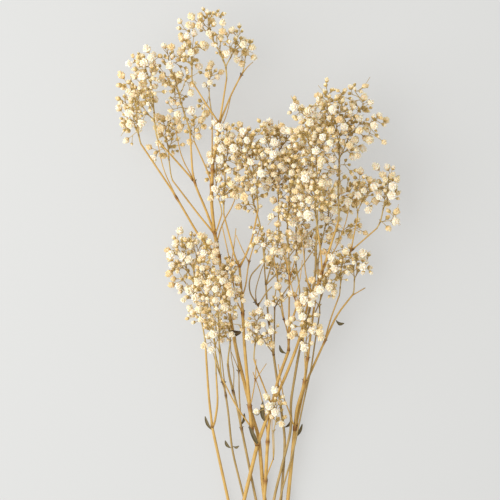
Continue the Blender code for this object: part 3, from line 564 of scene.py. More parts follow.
# Looser clusters that spread the heads: blooms on long thin stalks, each from the twig nearest to it
looseBlooms = {
    "reach": (3.2, 13.0),
    "size": (0.9, 1.1),
    "odds": (("bloom", 0.5), ("bud", 0.82), ("seed", 1.0)),
    "spread": 1.3,
    "share": 0.35,
    "drawsEach": 3,
    "holds": (0.35, 0.7, 0.95),
    "stalkHolds": (0.45, 0.9),
    "clusters": {
        "spray_g_outer": (((-77, 158, 28), (12, 24, 14), 14),),
        "spray_g_side": (((-69, 180, 46), (14, 18, 12), 16),),
        "spray_g_middle": (((-46, 172, 38), (14, 22, 12), 18),),
        "spray_g_low": (((-56, 146, 16), (12, 16, 12), 8),),
        "spray_g_slim": (((-33, 156, 32), (8, 20, 8), 8),),
        "spray_g_fork_left": (((-40, 200, 45), (13, 14, 10), 12),),
        "spray_g_fork_top": (((-26, 206, 45), (13, 10, 10), 10),),
        "spray_g_fork_right": (((-12, 196, 34), (10, 13, 8), 8),),
        "spray_f_right": (((60, 146, 44), (14, 20, 11), 34), ((50, 165, 46), (15, 9, 9), 16)),
        "spray_f_front": (((28, 152, 58), (14, 14, 9), 14),),
        "spray_n": (((30, 160, 34), (14, 14, 12), 14),),
        "spray_f_far": (((76, 110, 34), (9, 15, 11), 10),),
        "spray_f_far_low": (((62, 114, 33), (13, 14, 10), 14),),
        "spray_m_left": (((54, 96, 14), (12, 18, 11), 12),),
        "spray_m_right": (((58, 70, 25), (10, 12, 10), 8),),
        "spray_m_middle": (((46, 74, 30), (11, 16, 9), 12), ((40, 56, 30), (10, 14, 8), 10)),
        "spray_h_curved": (((3, 30, 28), (13, 16, 7), 16),),
        "spray_h_small": (((13, 46, 26), (10, 9, 6), 8),),
        "spray_m_front": (((28, 34, 33), (12, 18, 6), 14),),
        "spray_h_left": (((24, 84, 28), (12, 12, 9), 12),),
        "spray_j_curl": (((8, 84, 40), (12, 12, 8), 12),),
        "spray_a_left": (((-46, 66, 12), (13, 20, 10), 10),),
        "spray_c": (((-16, 44, 30), (10, 22, 9), 14),),
        "spray_d": (((-26, 40, 46), (13, 20, 8), 14),),
        "spray_f_left": (((-20, 128, 44), (12, 20, 10), 12),),
        "spray_f_middle": (((-2, 134, 46), (16, 18, 10), 16),),
        "spray_j_right": (((12, 134, 32), (13, 20, 10), 14),),
        "spray_h_base": (((9, -14, 22), (6, 9, 3), 3),),
    },
}


def addLooseBlooms(name, root, space):
    # the twigs of a spray, its root left out, with the loose blooms that they now hold
    rng = random.Random("loose blooms of " + name)
    shortest, longest = looseBlooms["reach"]
    twigs = [twig for twig in allTwigs(root) if twig is not root]
    holders = [(twig["start"].lerp(twig["end"], part), twig)
               for twig in twigs for part in looseBlooms["holds"]]
    own = [(centre, [half * looseBlooms["spread"] for half in halves], round(count * looseBlooms["share"]))
           for centre, halves, count in sprayPlans[name][2]]
    fresh = []
    for centre, halves, count in own + list(looseBlooms["clusters"].get(name, ())):
        for _ in range(count * looseBlooms["drawsEach"]):
            if count == 0:
                break
            offset = drawOffset(rng)
            kind = drawKind(rng, looseBlooms["odds"])
            radius = drawRadius(rng, kind) * rng.uniform(*looseBlooms["size"])
            place = placeIn(centre, halves, offset)
            if offset.length > 1 or not insideBox(place, radius):
                continue
            base, holder = min(holders, key=lambda pair: (pair[0] - place).length)
            bloom = stalkedBloom(base, place, radius, kind, space, fresh)
            if bloom is None or not shortest < (bloom["end"] - base).length < longest:
                continue
            fresh += bloom["balls"]
            holder["sides"].append(bloom)
            holders += [(base.lerp(bloom["end"], part), bloom) for part in looseBlooms["stalkHolds"]]
            twigs.append(bloom)
            count -= 1
    space.add(fresh)
    space.settle()
    return twigs


# The widest open blooms, by their places as seen from above: the topmost bloom at each is
# opened further, and where none is near, one is added on a stalk
wideBlooms = {
    "grown": 1.3,
    "widest": 3.9,
    "near": 4.5,
    "stalk": 15.0,
    "radius": 3.2,
    "hold": 0.8,
    "lift": 3.0,
    "places": (
        (-69.6, 196), (-71.4, 184), (-70.2, 178), (-51, 186.4), (-36, 182.2), (-40.8, 155.8), (-60, 163),
        (-18.6, 138.4), (5.4, 155.2), (4.8, 128.8), (3.6, 121.6), (13.8, 150.4), (-6, 146.2), (51.6, 146.2),
        (62.4, 133.6), (65.4, 129.4), (69.6, 125.8), (50.4, 133), (46.2, 128.8), (36.6, 133), (55.2, 127.6),
        (27, 116.8), (45, 158.2), (25.8, 92.8), (33.6, 80.8), (46.8, 98.8), (46.2, 68.8), (45.6, 61),
        (58.2, 73), (62.4, 68.2), (37.2, 56.2), (33.6, 52), (27.6, 48.4), (23.4, 38.8), (31.2, 25),
        (25.8, 19), (-55.2, 77.2), (-49.8, 71.8), (-45.6, 71.8), (-48.6, 87.4), (68.4, 111.4),
        (79, 113.2), (57, 107.8),
        (80.5, 105.4), (78.6, 94.6), (16.8, 160), (2.4, -15.2), (9, -8.6), (10.2, -18.2),
    ),
}


def openWideBlooms(twigs, space):
    opened, added = 0, 0
    for x, y in wideBlooms["places"]:
        spot = Vector((x, y))
        near = [twig for twig in twigs if twig["bloom"] and not twig["wide"]
                and (twig["bloom"][0].xy - spot).length < wideBlooms["near"]]
        if near:
            twig = max(near, key=lambda twig: twig["bloom"][0].z)
            place, radius = twig["bloom"][:2]
            radius = min(wideBlooms["widest"], max(wideBlooms["radius"], radius * wideBlooms["grown"]))
            twig["bloom"] = (place, radius, "bloom")
            twig["wide"] = True
            opened += 1
            continue
        holder = min(twigs, key=lambda twig: (twig["end"].xy - spot).length)
        base = holder["start"].lerp(holder["end"], wideBlooms["hold"])
        place = Vector((x, y, base.z + wideBlooms["lift"]))
        bloom = stalkedBloom(base, place, wideBlooms["radius"], "bloom", space, [])
        if bloom and (place - base).length < wideBlooms["stalk"]:
            bloom["wide"] = True
            holder["sides"].append(bloom)
            space.add(bloom["balls"])
            space.settle()
            added += 1
    return opened, added


bareTips = {
    "odds": 0.12,
    "from": 0.2,
    "to": 0.8,
    "length": (4.0, 9.0),
    "lean": (math.radians(14), math.radians(34)),
    "clear": 0.5,
    "carried": 0.3,
}


def bareTipOn(twig, rng):
    # a thin dry twiglet that has lost its bloom, or None
    if rng.random() > bareTips["odds"]:
        return None
    start = twig["start"].lerp(twig["end"], rng.uniform(bareTips["from"], bareTips["to"]))
    way = leanedWay(twig["end"] - twig["start"], rng.uniform(*bareTips["lean"]), rng)
    end = start + way * rng.uniform(*bareTips["length"])
    if not insideBox(end, bareTips["clear"]):
        return None
    return newTwig(start, end, bareTips["carried"], [], side=True)


def addSideBuds(name, held, space):
    # buds and bare tips on a spray's thinner twigs, which are handed back with the new buds
    rng = random.Random(name)
    spacing = sideBuds["spacing"].get(name[:len("spray_x")], sideBuds["spacing"]["others"])
    twigs = [twig for twig in held if twig["carried"] <= sideBuds["mostCarried"]]
    fresh = []
    for _ in range(sideBuds["rounds"]):
        for twig in list(twigs):
            count = (twig["end"] - twig["start"]).length / spacing
            count = int(count) + (rng.random() < count % 1)
            for _ in range(count):
                bud = sideBudOn(twig, rng, space, fresh)
                if bud:
                    twigs.append(bud)
                    twig["sides"].append(bud)
    for twig in twigs:
        tip = bareTipOn(twig, rng)
        if tip:
            twig["sides"].append(tip)
    space.add(fresh)
    space.settle()
    return twigs


# Florets: profiles of (reach, height, dip between petals, how pale the petal is there, low at the tan heart
# and, as painted shade, in the hollows between petal rings), spun round the stalk; the first rings up to the
# calyx rim are green-brown
floretShapes = {
    "bloom": {
        "steps": 10,
        "calyx": 1,
        "profile": ((0.0, -0.84, 0, 0), (0.44, -0.56, 0.3, 0), (0.97, -0.06, 0.2, 0.9),
                    (0.7, 0.1, 0.08, 0.45), (0.84, 0.5, 0.24, 1.0), (0.4, 0.44, 0.1, 0.4),
                    (0.44, 0.88, 0.3, 0.95), (0.0, 0.6, 0, 0.3)),
    },
    "bud": {
        "steps": 8,
        "calyx": 2,
        "profile": ((0.0, -1.0, 0, 0), (0.46, -0.72, 0, 0), (0.86, -0.12, 0.3, 0),
                    (0.7, 0.05, 0.1, 0.5), (0.84, 0.5, 0.24, 0.9), (0.34, 0.5, 0.1, 0.4),
                    (0.3, 0.95, 0.2, 0.8), (0.0, 0.85, 0, 0.4)),
    },
    "seed": {
        "steps": 7,
        "calyx": 2,
        "profile": ((0.0, -1.12, 0, 0), (0.6, -0.74, 0, 0), (0.96, -0.02, 0.32, 0),
                    (0.52, 0.12, 0.1, 0.4), (0.56, 0.72, 0.3, 0.7), (0.0, 0.8, 0, 0.4)),
    },
}
floretVariants = 4
# the crumpled shape of a dried floret, and its fade: painted shade that darkens the dips between petals
wiltAndCreaseShade = {"reach": 0.17, "swing": (-1, 0.2), "height": 0.12, "turn": 0.25, "drop": 0.25, "fade": 0.5}
scaleLeaf = {
    "width": 0.5,
    "foot": 0.2,
    "point": 0.96,
    "arch": 0.18,
    "cup": 0.5,
    "thickness": 0.16,
    "rows": 3,
}
finishNumber = {"petal": 1, "scale": 2, "pith": 3}  # 0 is the stalk


def meshFrom(bm, name):
    mesh = bpy.data.meshes.new(name)
    bm.to_mesh(mesh)
    bm.free()
    return mesh


def newObject(name, data):
    made = bpy.data.objects.new(name, data)
    bpy.context.scene.collection.objects.link(made)
    return made



def makeFloret(kind, number):
    # a closed floret of unit size whose rims are ruffled into petals
    shape = floretShapes[kind]
    profile = shape["profile"]
    rng = random.Random(kind + str(number))
    bm = bmesh.new()
    rim = bm.verts.layers.float.new("rim")
    line = [bm.verts.new((reach, 0, height)) for reach, height, _, _ in profile]
    edges = [bm.edges.new(pair) for pair in zip(line, line[1:])]
    bmesh.ops.spin(bm, geom=line + edges, axis=(0, 0, 1), cent=(0, 0, 0), dvec=(0, 0, 0),
                   angle=2 * math.pi, steps=shape["steps"], use_merge=True)
    bmesh.ops.remove_doubles(bm, verts=bm.verts, dist=0.0001)
    bmesh.ops.recalc_face_normals(bm, faces=bm.faces)
    step = 2 * math.pi / shape["steps"]
    rings = {}
    for vert in bm.verts:
        reach = math.hypot(vert.co.x, vert.co.y)
        ring = min(range(len(profile)), key=lambda index: abs(reach - profile[index][0])
                   + abs(vert.co.z - profile[index][1]))
        rings[vert] = ring
        vert[rim] = profile[ring][3]
    for vert, ring in rings.items():
        dip = profile[ring][2]
        angle = math.atan2(vert.co.y, vert.co.x)
        odd = (round(angle / step) + ring // 2) % 2
        reach = math.hypot(vert.co.x, vert.co.y) * (1 - dip * odd)
        height = vert.co.z - dip * odd * wiltAndCreaseShade["drop"]
        if dip:
            reach *= 1 + rng.uniform(*wiltAndCreaseShade["swing"]) * wiltAndCreaseShade["reach"]
            height += rng.uniform(-1, 1) * wiltAndCreaseShade["height"]
            angle += rng.uniform(-1, 1) * wiltAndCreaseShade["turn"] * step
            # painted shade: the dips between petals are made darker
            vert[rim] *= 1 - wiltAndCreaseShade["fade"] * odd
        vert.co = (reach * math.cos(angle), reach * math.sin(angle), height)
    for face in bm.faces:
        green = all(rings[vert] <= shape["calyx"] for vert in face.verts)
        face.material_index = finishNumber["scale" if green else "petal"]
        face.smooth = green
    return meshFrom(bm, kind + str(number))


def makeScaleLeaf():
    # a tiny dry leaf of unit length, as a pair of them sits at every joint
    bm = bmesh.new()
    bmesh.ops.create_grid(bm, x_segments=2, y_segments=scaleLeaf["rows"], size=1.0)
    for vert in bm.verts:
        side, part = vert.co.x, (vert.co.y + 1) / 2
        half = scaleLeaf["width"] / 2 * math.sin(math.pi * lerp(scaleLeaf["foot"], scaleLeaf["point"], part))
        vert.co = (side * half, part, scaleLeaf["arch"] * (part * part - abs(side) * scaleLeaf["cup"]))
    bmesh.ops.solidify(bm, geom=bm.faces, thickness=scaleLeaf["thickness"])
    bmesh.ops.recalc_face_normals(bm, faces=bm.faces)
    for face in bm.faces:
        face.material_index = finishNumber["scale"]
        face.smooth = True
    return meshFrom(bm, "scaleLeaf")


florets = {kind: [makeFloret(kind, number) for number in range(floretVariants)] for kind in floretShapes}
scaleLeafMesh = makeScaleLeaf()
print("florets made,", [len(meshes[0].polygons) for meshes in florets.values()], "faces each")


class Piece:
    # the mesh of one finished piece while it is being put together, in millimetres

    def __init__(self, name):
        self.name = name
        self.bm = bmesh.new()
        layers = self.bm.verts.layers.float
        for layer in ("rim", "tone", "knot"):
            layers.new(layer)
        self.uv = self.bm.loops.layers.uv.new("along")
        self.tone = layers["tone"]
        self.knot = layers["knot"]

    def place(self, mesh, matrix, tone):
        # a copy of a small shape
        before = len(self.bm.verts)
        self.bm.from_mesh(mesh)
        self.bm.verts.ensure_lookup_table()
        added = self.bm.verts[before:]
        bmesh.ops.transform(self.bm, matrix=matrix, verts=added)
        for vert in added:
            vert[self.tone] = tone

    def setRing(self, verts, place, way, across, radius, knot, tone):
        up = way.cross(across)
        turn = 2 * math.pi / len(verts)
        for index, vert in enumerate(verts):
            vert.co = place + radius * (math.cos(index * turn) * across + math.sin(index * turn) * up)
            vert[self.knot] = knot
            vert[self.tone] = tone

    def paintSides(self, older, newer, top, low, high):
        # the UV map holds the turn round the tube and the length along it
        count = len(newer)
        for edge in top.edges:
            side = next(face for face in edge.link_faces if face != top)
            numbers = [(newer if loop.vert in newer else older).index(loop.vert) for loop in side.loops]
            seam = 0 in numbers and count - 1 in numbers
            for loop, number in zip(side.loops, numbers):
                turn = count if seam and number == 0 else number
                loop[self.uv].uv = (turn / count, high if loop.vert in newer else low)
            side.smooth = True

    def tube(self, places, radii, sides, knots, tone):
        # a closed tube swept along places; its first end face is handed back
        ways = [(after - before).normalized() for before, after in zip(places, places[1:])]
        ways = [ways[0]] + [(one + two).normalized() for one, two in zip(ways, ways[1:])] + [ways[-1]]
        made = bmesh.ops.create_cone(self.bm, cap_ends=True, segments=sides, radius1=1, radius2=1, depth=1)
        faces = {face for vert in made["verts"] for face in vert.link_faces}
        top = max(faces, key=lambda face: face.calc_center_median().z)
        base = min(faces, key=lambda face: face.calc_center_median().z)
        low = set(base.verts)
        older = [next(edge.other_vert(vert) for edge in vert.link_edges if edge.other_vert(vert) in low)
                 for vert in top.verts]
        across = ways[0].orthogonal().normalized()
        self.setRing(older, places[0], ways[0], across, radii[0], knots[0], tone)
        length = 0.0
        for index in range(1, len(places)):
            if index > 1:
                older = list(top.verts)
                top = bmesh.ops.extrude_discrete_faces(self.bm, faces=[top])["faces"][0]
            across = (across - across.dot(ways[index]) * ways[index]).normalized()
            newer = list(top.verts)
            self.setRing(newer, places[index], ways[index], across, radii[index], knots[index], tone)
            further = length + (places[index] - places[index - 1]).length
            self.paintSides(older, newer, top, length, further)
            length = further
        return base

    def finish(self, finishes, slot):
        # the finished object at the origin, in metres, standing for its CAD node
        for vert in self.bm.verts:
            vert.co.z = max(vert.co.z, 0.0)
        bmesh.ops.scale(self.bm, verts=self.bm.verts, vec=(mm, mm, mm))
        mesh = meshFrom(self.bm, self.name + "_fine")
        for finish in finishes:
            mesh.materials.append(finish)
        piece = newObject(self.name + "_fine", mesh)
        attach(piece, bodyName)
        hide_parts(self.name)


# Finishes: colours are red, green, blue and alpha in linear light
bumpDepth = 0.0002  # in metres


class Finish:
    # a material while its nodes are being joined

    def __init__(self, name, look):
        self.material = bpy.data.materials.new(name)
        self.material.use_nodes = True
        self.nodes = self.material.node_tree.nodes
        self.links = self.material.node_tree.links
        self.shader = self.nodes["Principled BSDF"]
        self.shader.inputs["Roughness"].default_value = look["roughness"]
        self.shader.inputs["Specular IOR Level"].default_value = look["specular"]
        self.place = self.nodes.new("ShaderNodeTexCoord").outputs["Object"]

    def mix(self, factor, one, two):
        mixer = self.nodes.new("ShaderNodeMix")
        mixer.data_type = "RGBA"
        inputs = mixer.inputs
        for socket, value in ((inputs["Factor"], factor), (inputs[6], one), (inputs[7], two)):
            if isinstance(value, bpy.types.NodeSocket):
                self.links.new(value, socket)
            else:
                socket.default_value = value
        return mixer.outputs[2]

    def ramp(self, factor, span):
        ramp = self.nodes.new("ShaderNodeMapRange")
        ramp.inputs["From Min"].default_value = span[0]
        ramp.inputs["From Max"].default_value = span[1]
        self.links.new(factor, ramp.inputs["Value"])
        return ramp.outputs["Result"]

    def noise(self, vector, scale, detail=3.0):
        noise = self.nodes.new("ShaderNodeTexNoise")
        noise.inputs["Scale"].default_value = scale
        noise.inputs["Detail"].default_value = detail
        self.links.new(vector, noise.inputs["Vector"])
        return noise.outputs["Fac"]

    def attribute(self, name):
        reader = self.nodes.new("ShaderNodeAttribute")
        reader.attribute_name = name
        return reader.outputs["Fac"]

    def maths(self, operation, value, factor=None):
        step = self.nodes.new("ShaderNodeMath")
        step.operation = operation
        self.links.new(value, step.inputs[0])
        if factor is not None:
            step.inputs[1].default_value = factor
        return step.outputs[0]

    def close(self, colour, height, strength):
        # joins the colour and the bump to the shader
        self.links.new(colour, self.shader.inputs["Base Color"])
        bump = self.nodes.new("ShaderNodeBump")
        bump.inputs["Strength"].default_value = strength
        bump.inputs["Distance"].default_value = bumpDepth
        self.links.new(height, bump.inputs["Height"])
        self.links.new(bump.outputs["Normal"], self.shader.inputs["Normal"])
        return self.material


stemFinishes = {
    "straw": {"light": (0.66, 0.42, 0.12, 1), "dark": (0.38, 0.21, 0.045, 1), "knot": (0.28, 0.12, 0.025, 1)},
    "olive": {"light": (0.47, 0.32, 0.12, 1), "dark": (0.24, 0.16, 0.05, 1), "knot": (0.19, 0.1, 0.03, 1)},
    "twig": {"light": (0.62, 0.44, 0.15, 1), "dark": (0.4, 0.27, 0.085, 1), "knot": (0.28, 0.16, 0.045, 1)},
    "roughness": 0.55,
    "specular": 0.35,
    "fibres": 5.0,
    "fibreLength": 0.08,
    "fibreSpan": (0.35, 0.65),
    "patches": 90.0,
    "patchSpan": (0.4, 0.7),
    "bump": 0.4,
}


def stemFinish(name):
    # dry stalk: fibres run along it, patches fade, and the joints are darker
    look = stemFinishes[name]
    finish = Finish(name + "Stalk", stemFinishes)
    along = finish.nodes.new("ShaderNodeUVMap")
    along.uv_map = "along"
    split = finish.nodes.new("ShaderNodeSeparateXYZ")
    finish.links.new(along.outputs["UV"], split.inputs["Vector"])
    ring = finish.nodes.new("ShaderNodeCombineXYZ")
    turn = finish.maths("MULTIPLY", split.outputs["X"], 2 * math.pi)
    for operation, socket in (("COSINE", "X"), ("SINE", "Y")):
        finish.links.new(finish.maths(operation, turn), ring.inputs[socket])
    stretched = finish.maths("MULTIPLY", split.outputs["Y"], stemFinishes["fibreLength"])
    finish.links.new(stretched, ring.inputs["Z"])
    fibres = finish.noise(ring.outputs["Vector"], stemFinishes["fibres"])
    patches = finish.noise(finish.place, stemFinishes["patches"])
    fibred = finish.mix(finish.ramp(fibres, stemFinishes["fibreSpan"]), look["dark"], look["light"])
    faded = finish.mix(finish.ramp(patches, stemFinishes["patchSpan"]), fibred, look["light"])
    knotted = finish.mix(finish.attribute("knot"), faded, look["knot"])
    return finish.close(knotted, fibres, stemFinishes["bump"])


petalLook = {
    "cream": (0.91, 0.81, 0.58, 1),
    "white": (0.94, 0.9, 0.77, 1),
    "tan": (0.84, 0.65, 0.36, 1),
    "heart": (0.78, 0.54, 0.24, 1),
    "roughness": 0.7,
    "specular": 0.25,
    "specks": 900.0,
    "speckDetail": 2.0,
    "freshSpan": (0.45, 1.0),
    "tanSpan": (0.4, 0.0),
    "speckSpan": (0.62, 0.85),
    # the tan heart colour, and painted shade in the hollows and dips between petals
    "heartAndCreaseShadeSpan": (0.6, 0.0),
    "glow": 0.35,
    "glowReach": 0.0015,
    "glowColour": (1.0, 0.75, 0.45),
    "bump": 0.3,
}


def petalFinish():
    # papery petals: cream at the rims, darker towards the tan heart and, as painted shade, in the hollows and
    # dips between petals, and each floret faded differently
    finish = Finish("petal", petalLook)
    specks = finish.noise(finish.place, petalLook["specks"], petalLook["speckDetail"])
    tone = finish.attribute("tone")
    fresh = finish.mix(finish.ramp(tone, petalLook["freshSpan"]), petalLook["cream"], petalLook["white"])
    faded = finish.mix(finish.ramp(tone, petalLook["tanSpan"]), fresh, petalLook["tan"])
    speckled = finish.mix(finish.ramp(specks, petalLook["speckSpan"]), faded, petalLook["heart"])
    # the tan heart colour, with painted shade in the hollows and dips between petals
    heartAndCreaseShade = finish.ramp(finish.attribute("rim"), petalLook["heartAndCreaseShadeSpan"])
    finish.shader.inputs["Subsurface Weight"].default_value = petalLook["glow"]
    finish.shader.inputs["Subsurface Scale"].default_value = petalLook["glowReach"]
    finish.shader.inputs["Subsurface Radius"].default_value = petalLook["glowColour"]
    return finish.close(finish.mix(heartAndCreaseShade, speckled, petalLook["heart"]), specks, petalLook["bump"])


calyxLook = {
    "dark": (0.38, 0.26, 0.08, 1),
    "light": (0.68, 0.49, 0.17, 1),
    "patches": 400.0,
    "roughness": 0.6,
    "specular": 0.3,
    "bump": 0.4,
}
pithLook = {
    "dark": (0.5, 0.36, 0.18, 1),
    "light": (0.75, 0.6, 0.36, 1),
    "patches": 1500.0,
    "roughness": 0.8,
    "specular": 0.2,
    "bump": 0.6,
}


def patchyFinish(name, look):
    # two tones in small patches
    finish = Finish(name, look)
    patches = finish.noise(finish.place, look["patches"])
    return finish.close(finish.mix(patches, look["dark"], look["light"]), patches, look["bump"])


dryLeafLook = {
    "dark": (0.11, 0.09, 0.045, 1),
    "light": (0.2, 0.16, 0.075, 1),
    "brown": (0.075, 0.04, 0.015, 1),
    "vein": (0.36, 0.28, 0.13, 1),
    "veinSpan": (0.0, 2.0),
    "patches": 260.0,
    "roughness": 0.65,
    "specular": 0.3,
    "bump": 0.5,
}


def leafFinish():
    # dry leaf: grey-olive or darker brown, with paler veins
    look = dryLeafLook
    finish = Finish("dryLeaf", look)
    patches = finish.noise(finish.place, look["patches"])
    olive = finish.mix(patches, look["dark"], look["light"])
    toned = finish.mix(finish.attribute("tone"), look["brown"], olive)
    veins = finish.ramp(finish.attribute("rim"), look["veinSpan"])
    return finish.close(finish.mix(veins, toned, look["vein"]), patches, look["bump"])


strawStalk = stemFinish("straw")
oliveStalk = stemFinish("olive")
twigStalk = stemFinish("twig")
petal = petalFinish()
calyx = patchyFinish("calyx", calyxLook)
pith = patchyFinish("pith", pithLook)
dryLeaf = leafFinish()


# Stems: straight between their joints, gently rounded at them, with swollen knots
strawStems = ("stem_a", "stem_g", "stem_f", "stem_h", "stem_m")
stemLook = {
    "sides": 10,
    "step": 3.0,
    "rounding": 9.0,
    "bendShare": 0.42,
    "bendSteps": 5,
    "knotSwell": 0.42,
    "knotLength": 1.5,
    "jointReach": 2.0,
    "plainBelow": -95.0,
    "waver": 0.04,
    "tone": (0.3, 0.8),
    "bractLength": (1.2, 2.1),
    "cutLean": 0.35,
    "pithInset": 0.28,
    "pithDepth": 0.35,
}
bractLook = {"forward": 0.85, "outward": 0.55, "seat": 0.8, "size": (0.8, 1.15), "tone": (0.1, 0.7)}


# Fine side branches, thinner than any of the solids
fineBranches = {
    "stem_f": (
        (0.45, 0.3, ((-10.4, 37.8, 25.2), (-14.4, 46, 27.4), (-16.2, 57.4, 29), (-18.2, 70, 31),
                     (-22.8, 91, 35))),
        (0.35, 0.25, ((-17.6, 66, 30.5), (-15.6, 78, 32), (-14.4, 89, 33))),
        (0.45, 0.3, ((-10.9, 47, 27), (-8.6, 54.4, 30), (-6.6, 70, 33), (0, 89.2, 38))),
        (0.32, 0.25, ((-6.6, 68.5, 32.8), (-11, 77, 35), (-14.4, 85, 36))),
        (0.4, 0.25, ((-6.0, -20, 13), (-3.6, -8, 17), (-2.6, -1, 19), (-2.4, 10, 21))),
        (0.28, 0.22, ((-2.9, -3, 18.4), (0.6, 2.4, 20.5), (3.9, 7.4, 22))),
        (0.38, 0.24, ((26.4, 32, 25.2), (21.6, 44, 30), (17.4, 60, 33), (15, 76, 36))),
        (0.3, 0.22, ((20.8, 47, 30.6), (24, 58, 34), (25.2, 70, 37))),
        (0.36, 0.24, ((31.2, 49, 30), (27, 62, 34), (25.8, 78, 38), (22.2, 92, 42))),
        (0.36, 0.24, ((38.5, 67.1, 35.4), (46, 78, 34), (52, 94, 33), (54, 108, 35))),
    ),
    "stem_j": (
        (0.35, 0.25, ((-2.4, 44.5, 22), (-2.7, 52, 24), (1.2, 65.2, 28), (5.1, 73, 30))),
        (0.45, 0.3, ((3.6, 55, 21), (9, 60.6, 25), (19.5, 75, 32), (31, 88, 38))),
        (0.4, 0.3, ((8.9, 42, 17.9), (18, 55, 25.8), (27, 68.8, 31), (36, 82, 35))),
        (0.35, 0.22, ((8.4, 13, 11.6), (4.5, 18, 14.5), (0.6, 24, 17.5), (-1.5, 29, 20))),
        (0.25, 0.2, ((4.2, 18.4, 14.7), (4.8, 23, 16.5), (4.4, 27, 18))),
    ),
    "stem_h": (
        (0.4, 0.28, ((14.5, 34, 20.5), (12.6, 48, 24), (10.8, 58, 26), (8.4, 70, 28), (6.6, 84, 30))),
        (0.4, 0.28, ((17.7, 58, 24.6), (21.6, 72, 30), (26.4, 86, 35))),
        (0.35, 0.25, ((17.7, 61, 25.3), (14.4, 72, 28), (11.4, 84, 30))),
        (0.28, 0.2, ((8.2, -52, 8.9), (8.0, -42, 10.5), (7.2, -30, 13), (7.6, -20, 16))),
        (0.4, 0.28, ((4.8, -40, 9.2), (3.2, -24, 10), (0.2, -10, 13), (-4.2, 2, 18))),
    ),
    "stem_b": (
        (0.4, 0.28, ((-20.8, -12, 12), (-22, 0, 16), (-23.5, 14, 19.5), (-27, 32, 24))),
        (0.34, 0.22, ((-22.6, -4.4, 13.4), (-26.4, 6, 16), (-30, 20, 18))),
    ),
    "stem_c": (
        (0.5, 0.3, ((-11.4, -32, 8), (-12.6, -11, 12.8), (-12.7, 1, 15.5), (-14, 16, 19), (-15, 26, 22))),
        (0.3, 0.22, ((-12.7, 3, 16), (-15.4, 9.6, 18.5), (-17.6, 15, 20.5))),
        (0.34, 0.22, ((-16.2, -10, 11.2), (-15.6, 2, 14), (-17.6, 12, 17), (-17.8, 24, 21))),
    ),
    "stem_m": (
        (0.45, 0.28, ((21.4, -32.1, 10.4), (19.6, -28, 14.9), (17, -20, 16.2), (14.4, -13.8, 17.8),
                      (11, 7, 22))),
        (0.35, 0.25, ((28.9, 10.9, 20.2), (25.5, 25, 25.6), (24.6, 37, 28), (21.6, 50, 31))),
    ),
    "stem_g": (
        (0.45, 0.28, ((-26.2, 80, 22.5), (-22.8, 92, 24), (-15.6, 104, 27), (-12, 118, 31))),
        (0.4, 0.26, ((-50.4, 108, 27.9), (-58, 124, 33), (-61, 140, 37))),
        (0.4, 0.26, ((-39.2, 117.2, 33.6), (-47, 131, 33), (-50.5, 148, 36))),
        (0.32, 0.24, ((-25.6, 144, 39.5), (-20, 156, 36), (-17.4, 168, 35))),
        (0.4, 0.2, ((-11.2, 180.4, 38), (-7.4, 185.4, 37.5), (-4.2, 188.2, 37))),
        (0.34, 0.2, ((-29.2, 108, 31.6), (-24.6, 120, 30), (-21.4, 133, 28))),
    ),
    "stem_n": (
        (0.45, 0.28, ((25.7, 22, 18.9), (31.6, 34, 21.9), (37.4, 48, 26), (41.4, 66, 31))),
        (0.35, 0.24, ((31.2, 47, 22.9), (27.6, 60, 24), (26.4, 74, 26), (28.8, 88, 27))),
    ),
}


def roundedRoute(points):
    # the points of a route with its bends rounded, and the length up to each
    places = [Vector(point) for point in points]
    route = [places[0]]
    for index in range(1, len(places)):
        before, here = places[index - 1], places[index]
        last = index == len(places) - 1
        after = here if last else places[index + 1]
        shorter = min((here - before).length, (after - here).length)
        back = min(stemLook["rounding"], shorter * stemLook["bendShare"])
        stop = here - (here - before).normalized() * back
        start = route[-1]
        count = max(1, round((stop - start).length / stemLook["step"]))
        route += [start.lerp(stop, (number + 1) / count) for number in range(count)]
        if not last:
            onward = here + (after - here).normalized() * back
            for number in range(stemLook["bendSteps"]):
                part = (number + 1) / stemLook["bendSteps"]
                route.append(stop.lerp(here, part).lerp(here.lerp(onward, part), part))
    lengths = [0.0]
    for one, two in zip(route, route[1:]):
        lengths.append(lengths[-1] + (two - one).length)
    return route, lengths


def jointsOf(branches, number, route):
    # the places on a branch where others grow from it, and the joints of its plain lower part
    starts = [Vector(branch[2][0]) for branch in branches[number + 1:]]
    starts += [Vector(point) for point in branches[number][2][1:-1] if point[1] < stemLook["plainBelow"]]
    joints = set()
    for start in starts:
        nearest = min(range(len(route)), key=lambda index: (route[index] - start).length)
        if (route[nearest] - start).length < stemLook["jointReach"] and 0 < nearest < len(route) - 1:
            joints.add(nearest)
    return sorted(joints)


def addBract(piece, place, way, out, length, tone):
    # one small dry scale that hugs the joint and stands off at its tip
    along = (way * bractLook["forward"] + out * bractLook["outward"]).normalized()
    across = along.cross(out).normalized()
    turn = Matrix((across, along, across.cross(along))).transposed().to_4x4()
    size = Matrix.Diagonal((length, length, length, 1))
    piece.place(scaleLeafMesh, Matrix.Translation(place) @ turn @ size, tone)


def addBracts(piece, place, way, radius, rng, length):
    # a pair of scales on opposite sides
    out = way.orthogonal().normalized()
    out.rotate(Matrix.Rotation(rng.uniform(0, 2 * math.pi), 3, way))
    for side in (out, -out):
        seat = place + side * radius * bractLook["seat"]
        size = length * rng.uniform(*bractLook["size"])
        addBract(piece, seat, way, side, size, rng.uniform(*bractLook["tone"]))


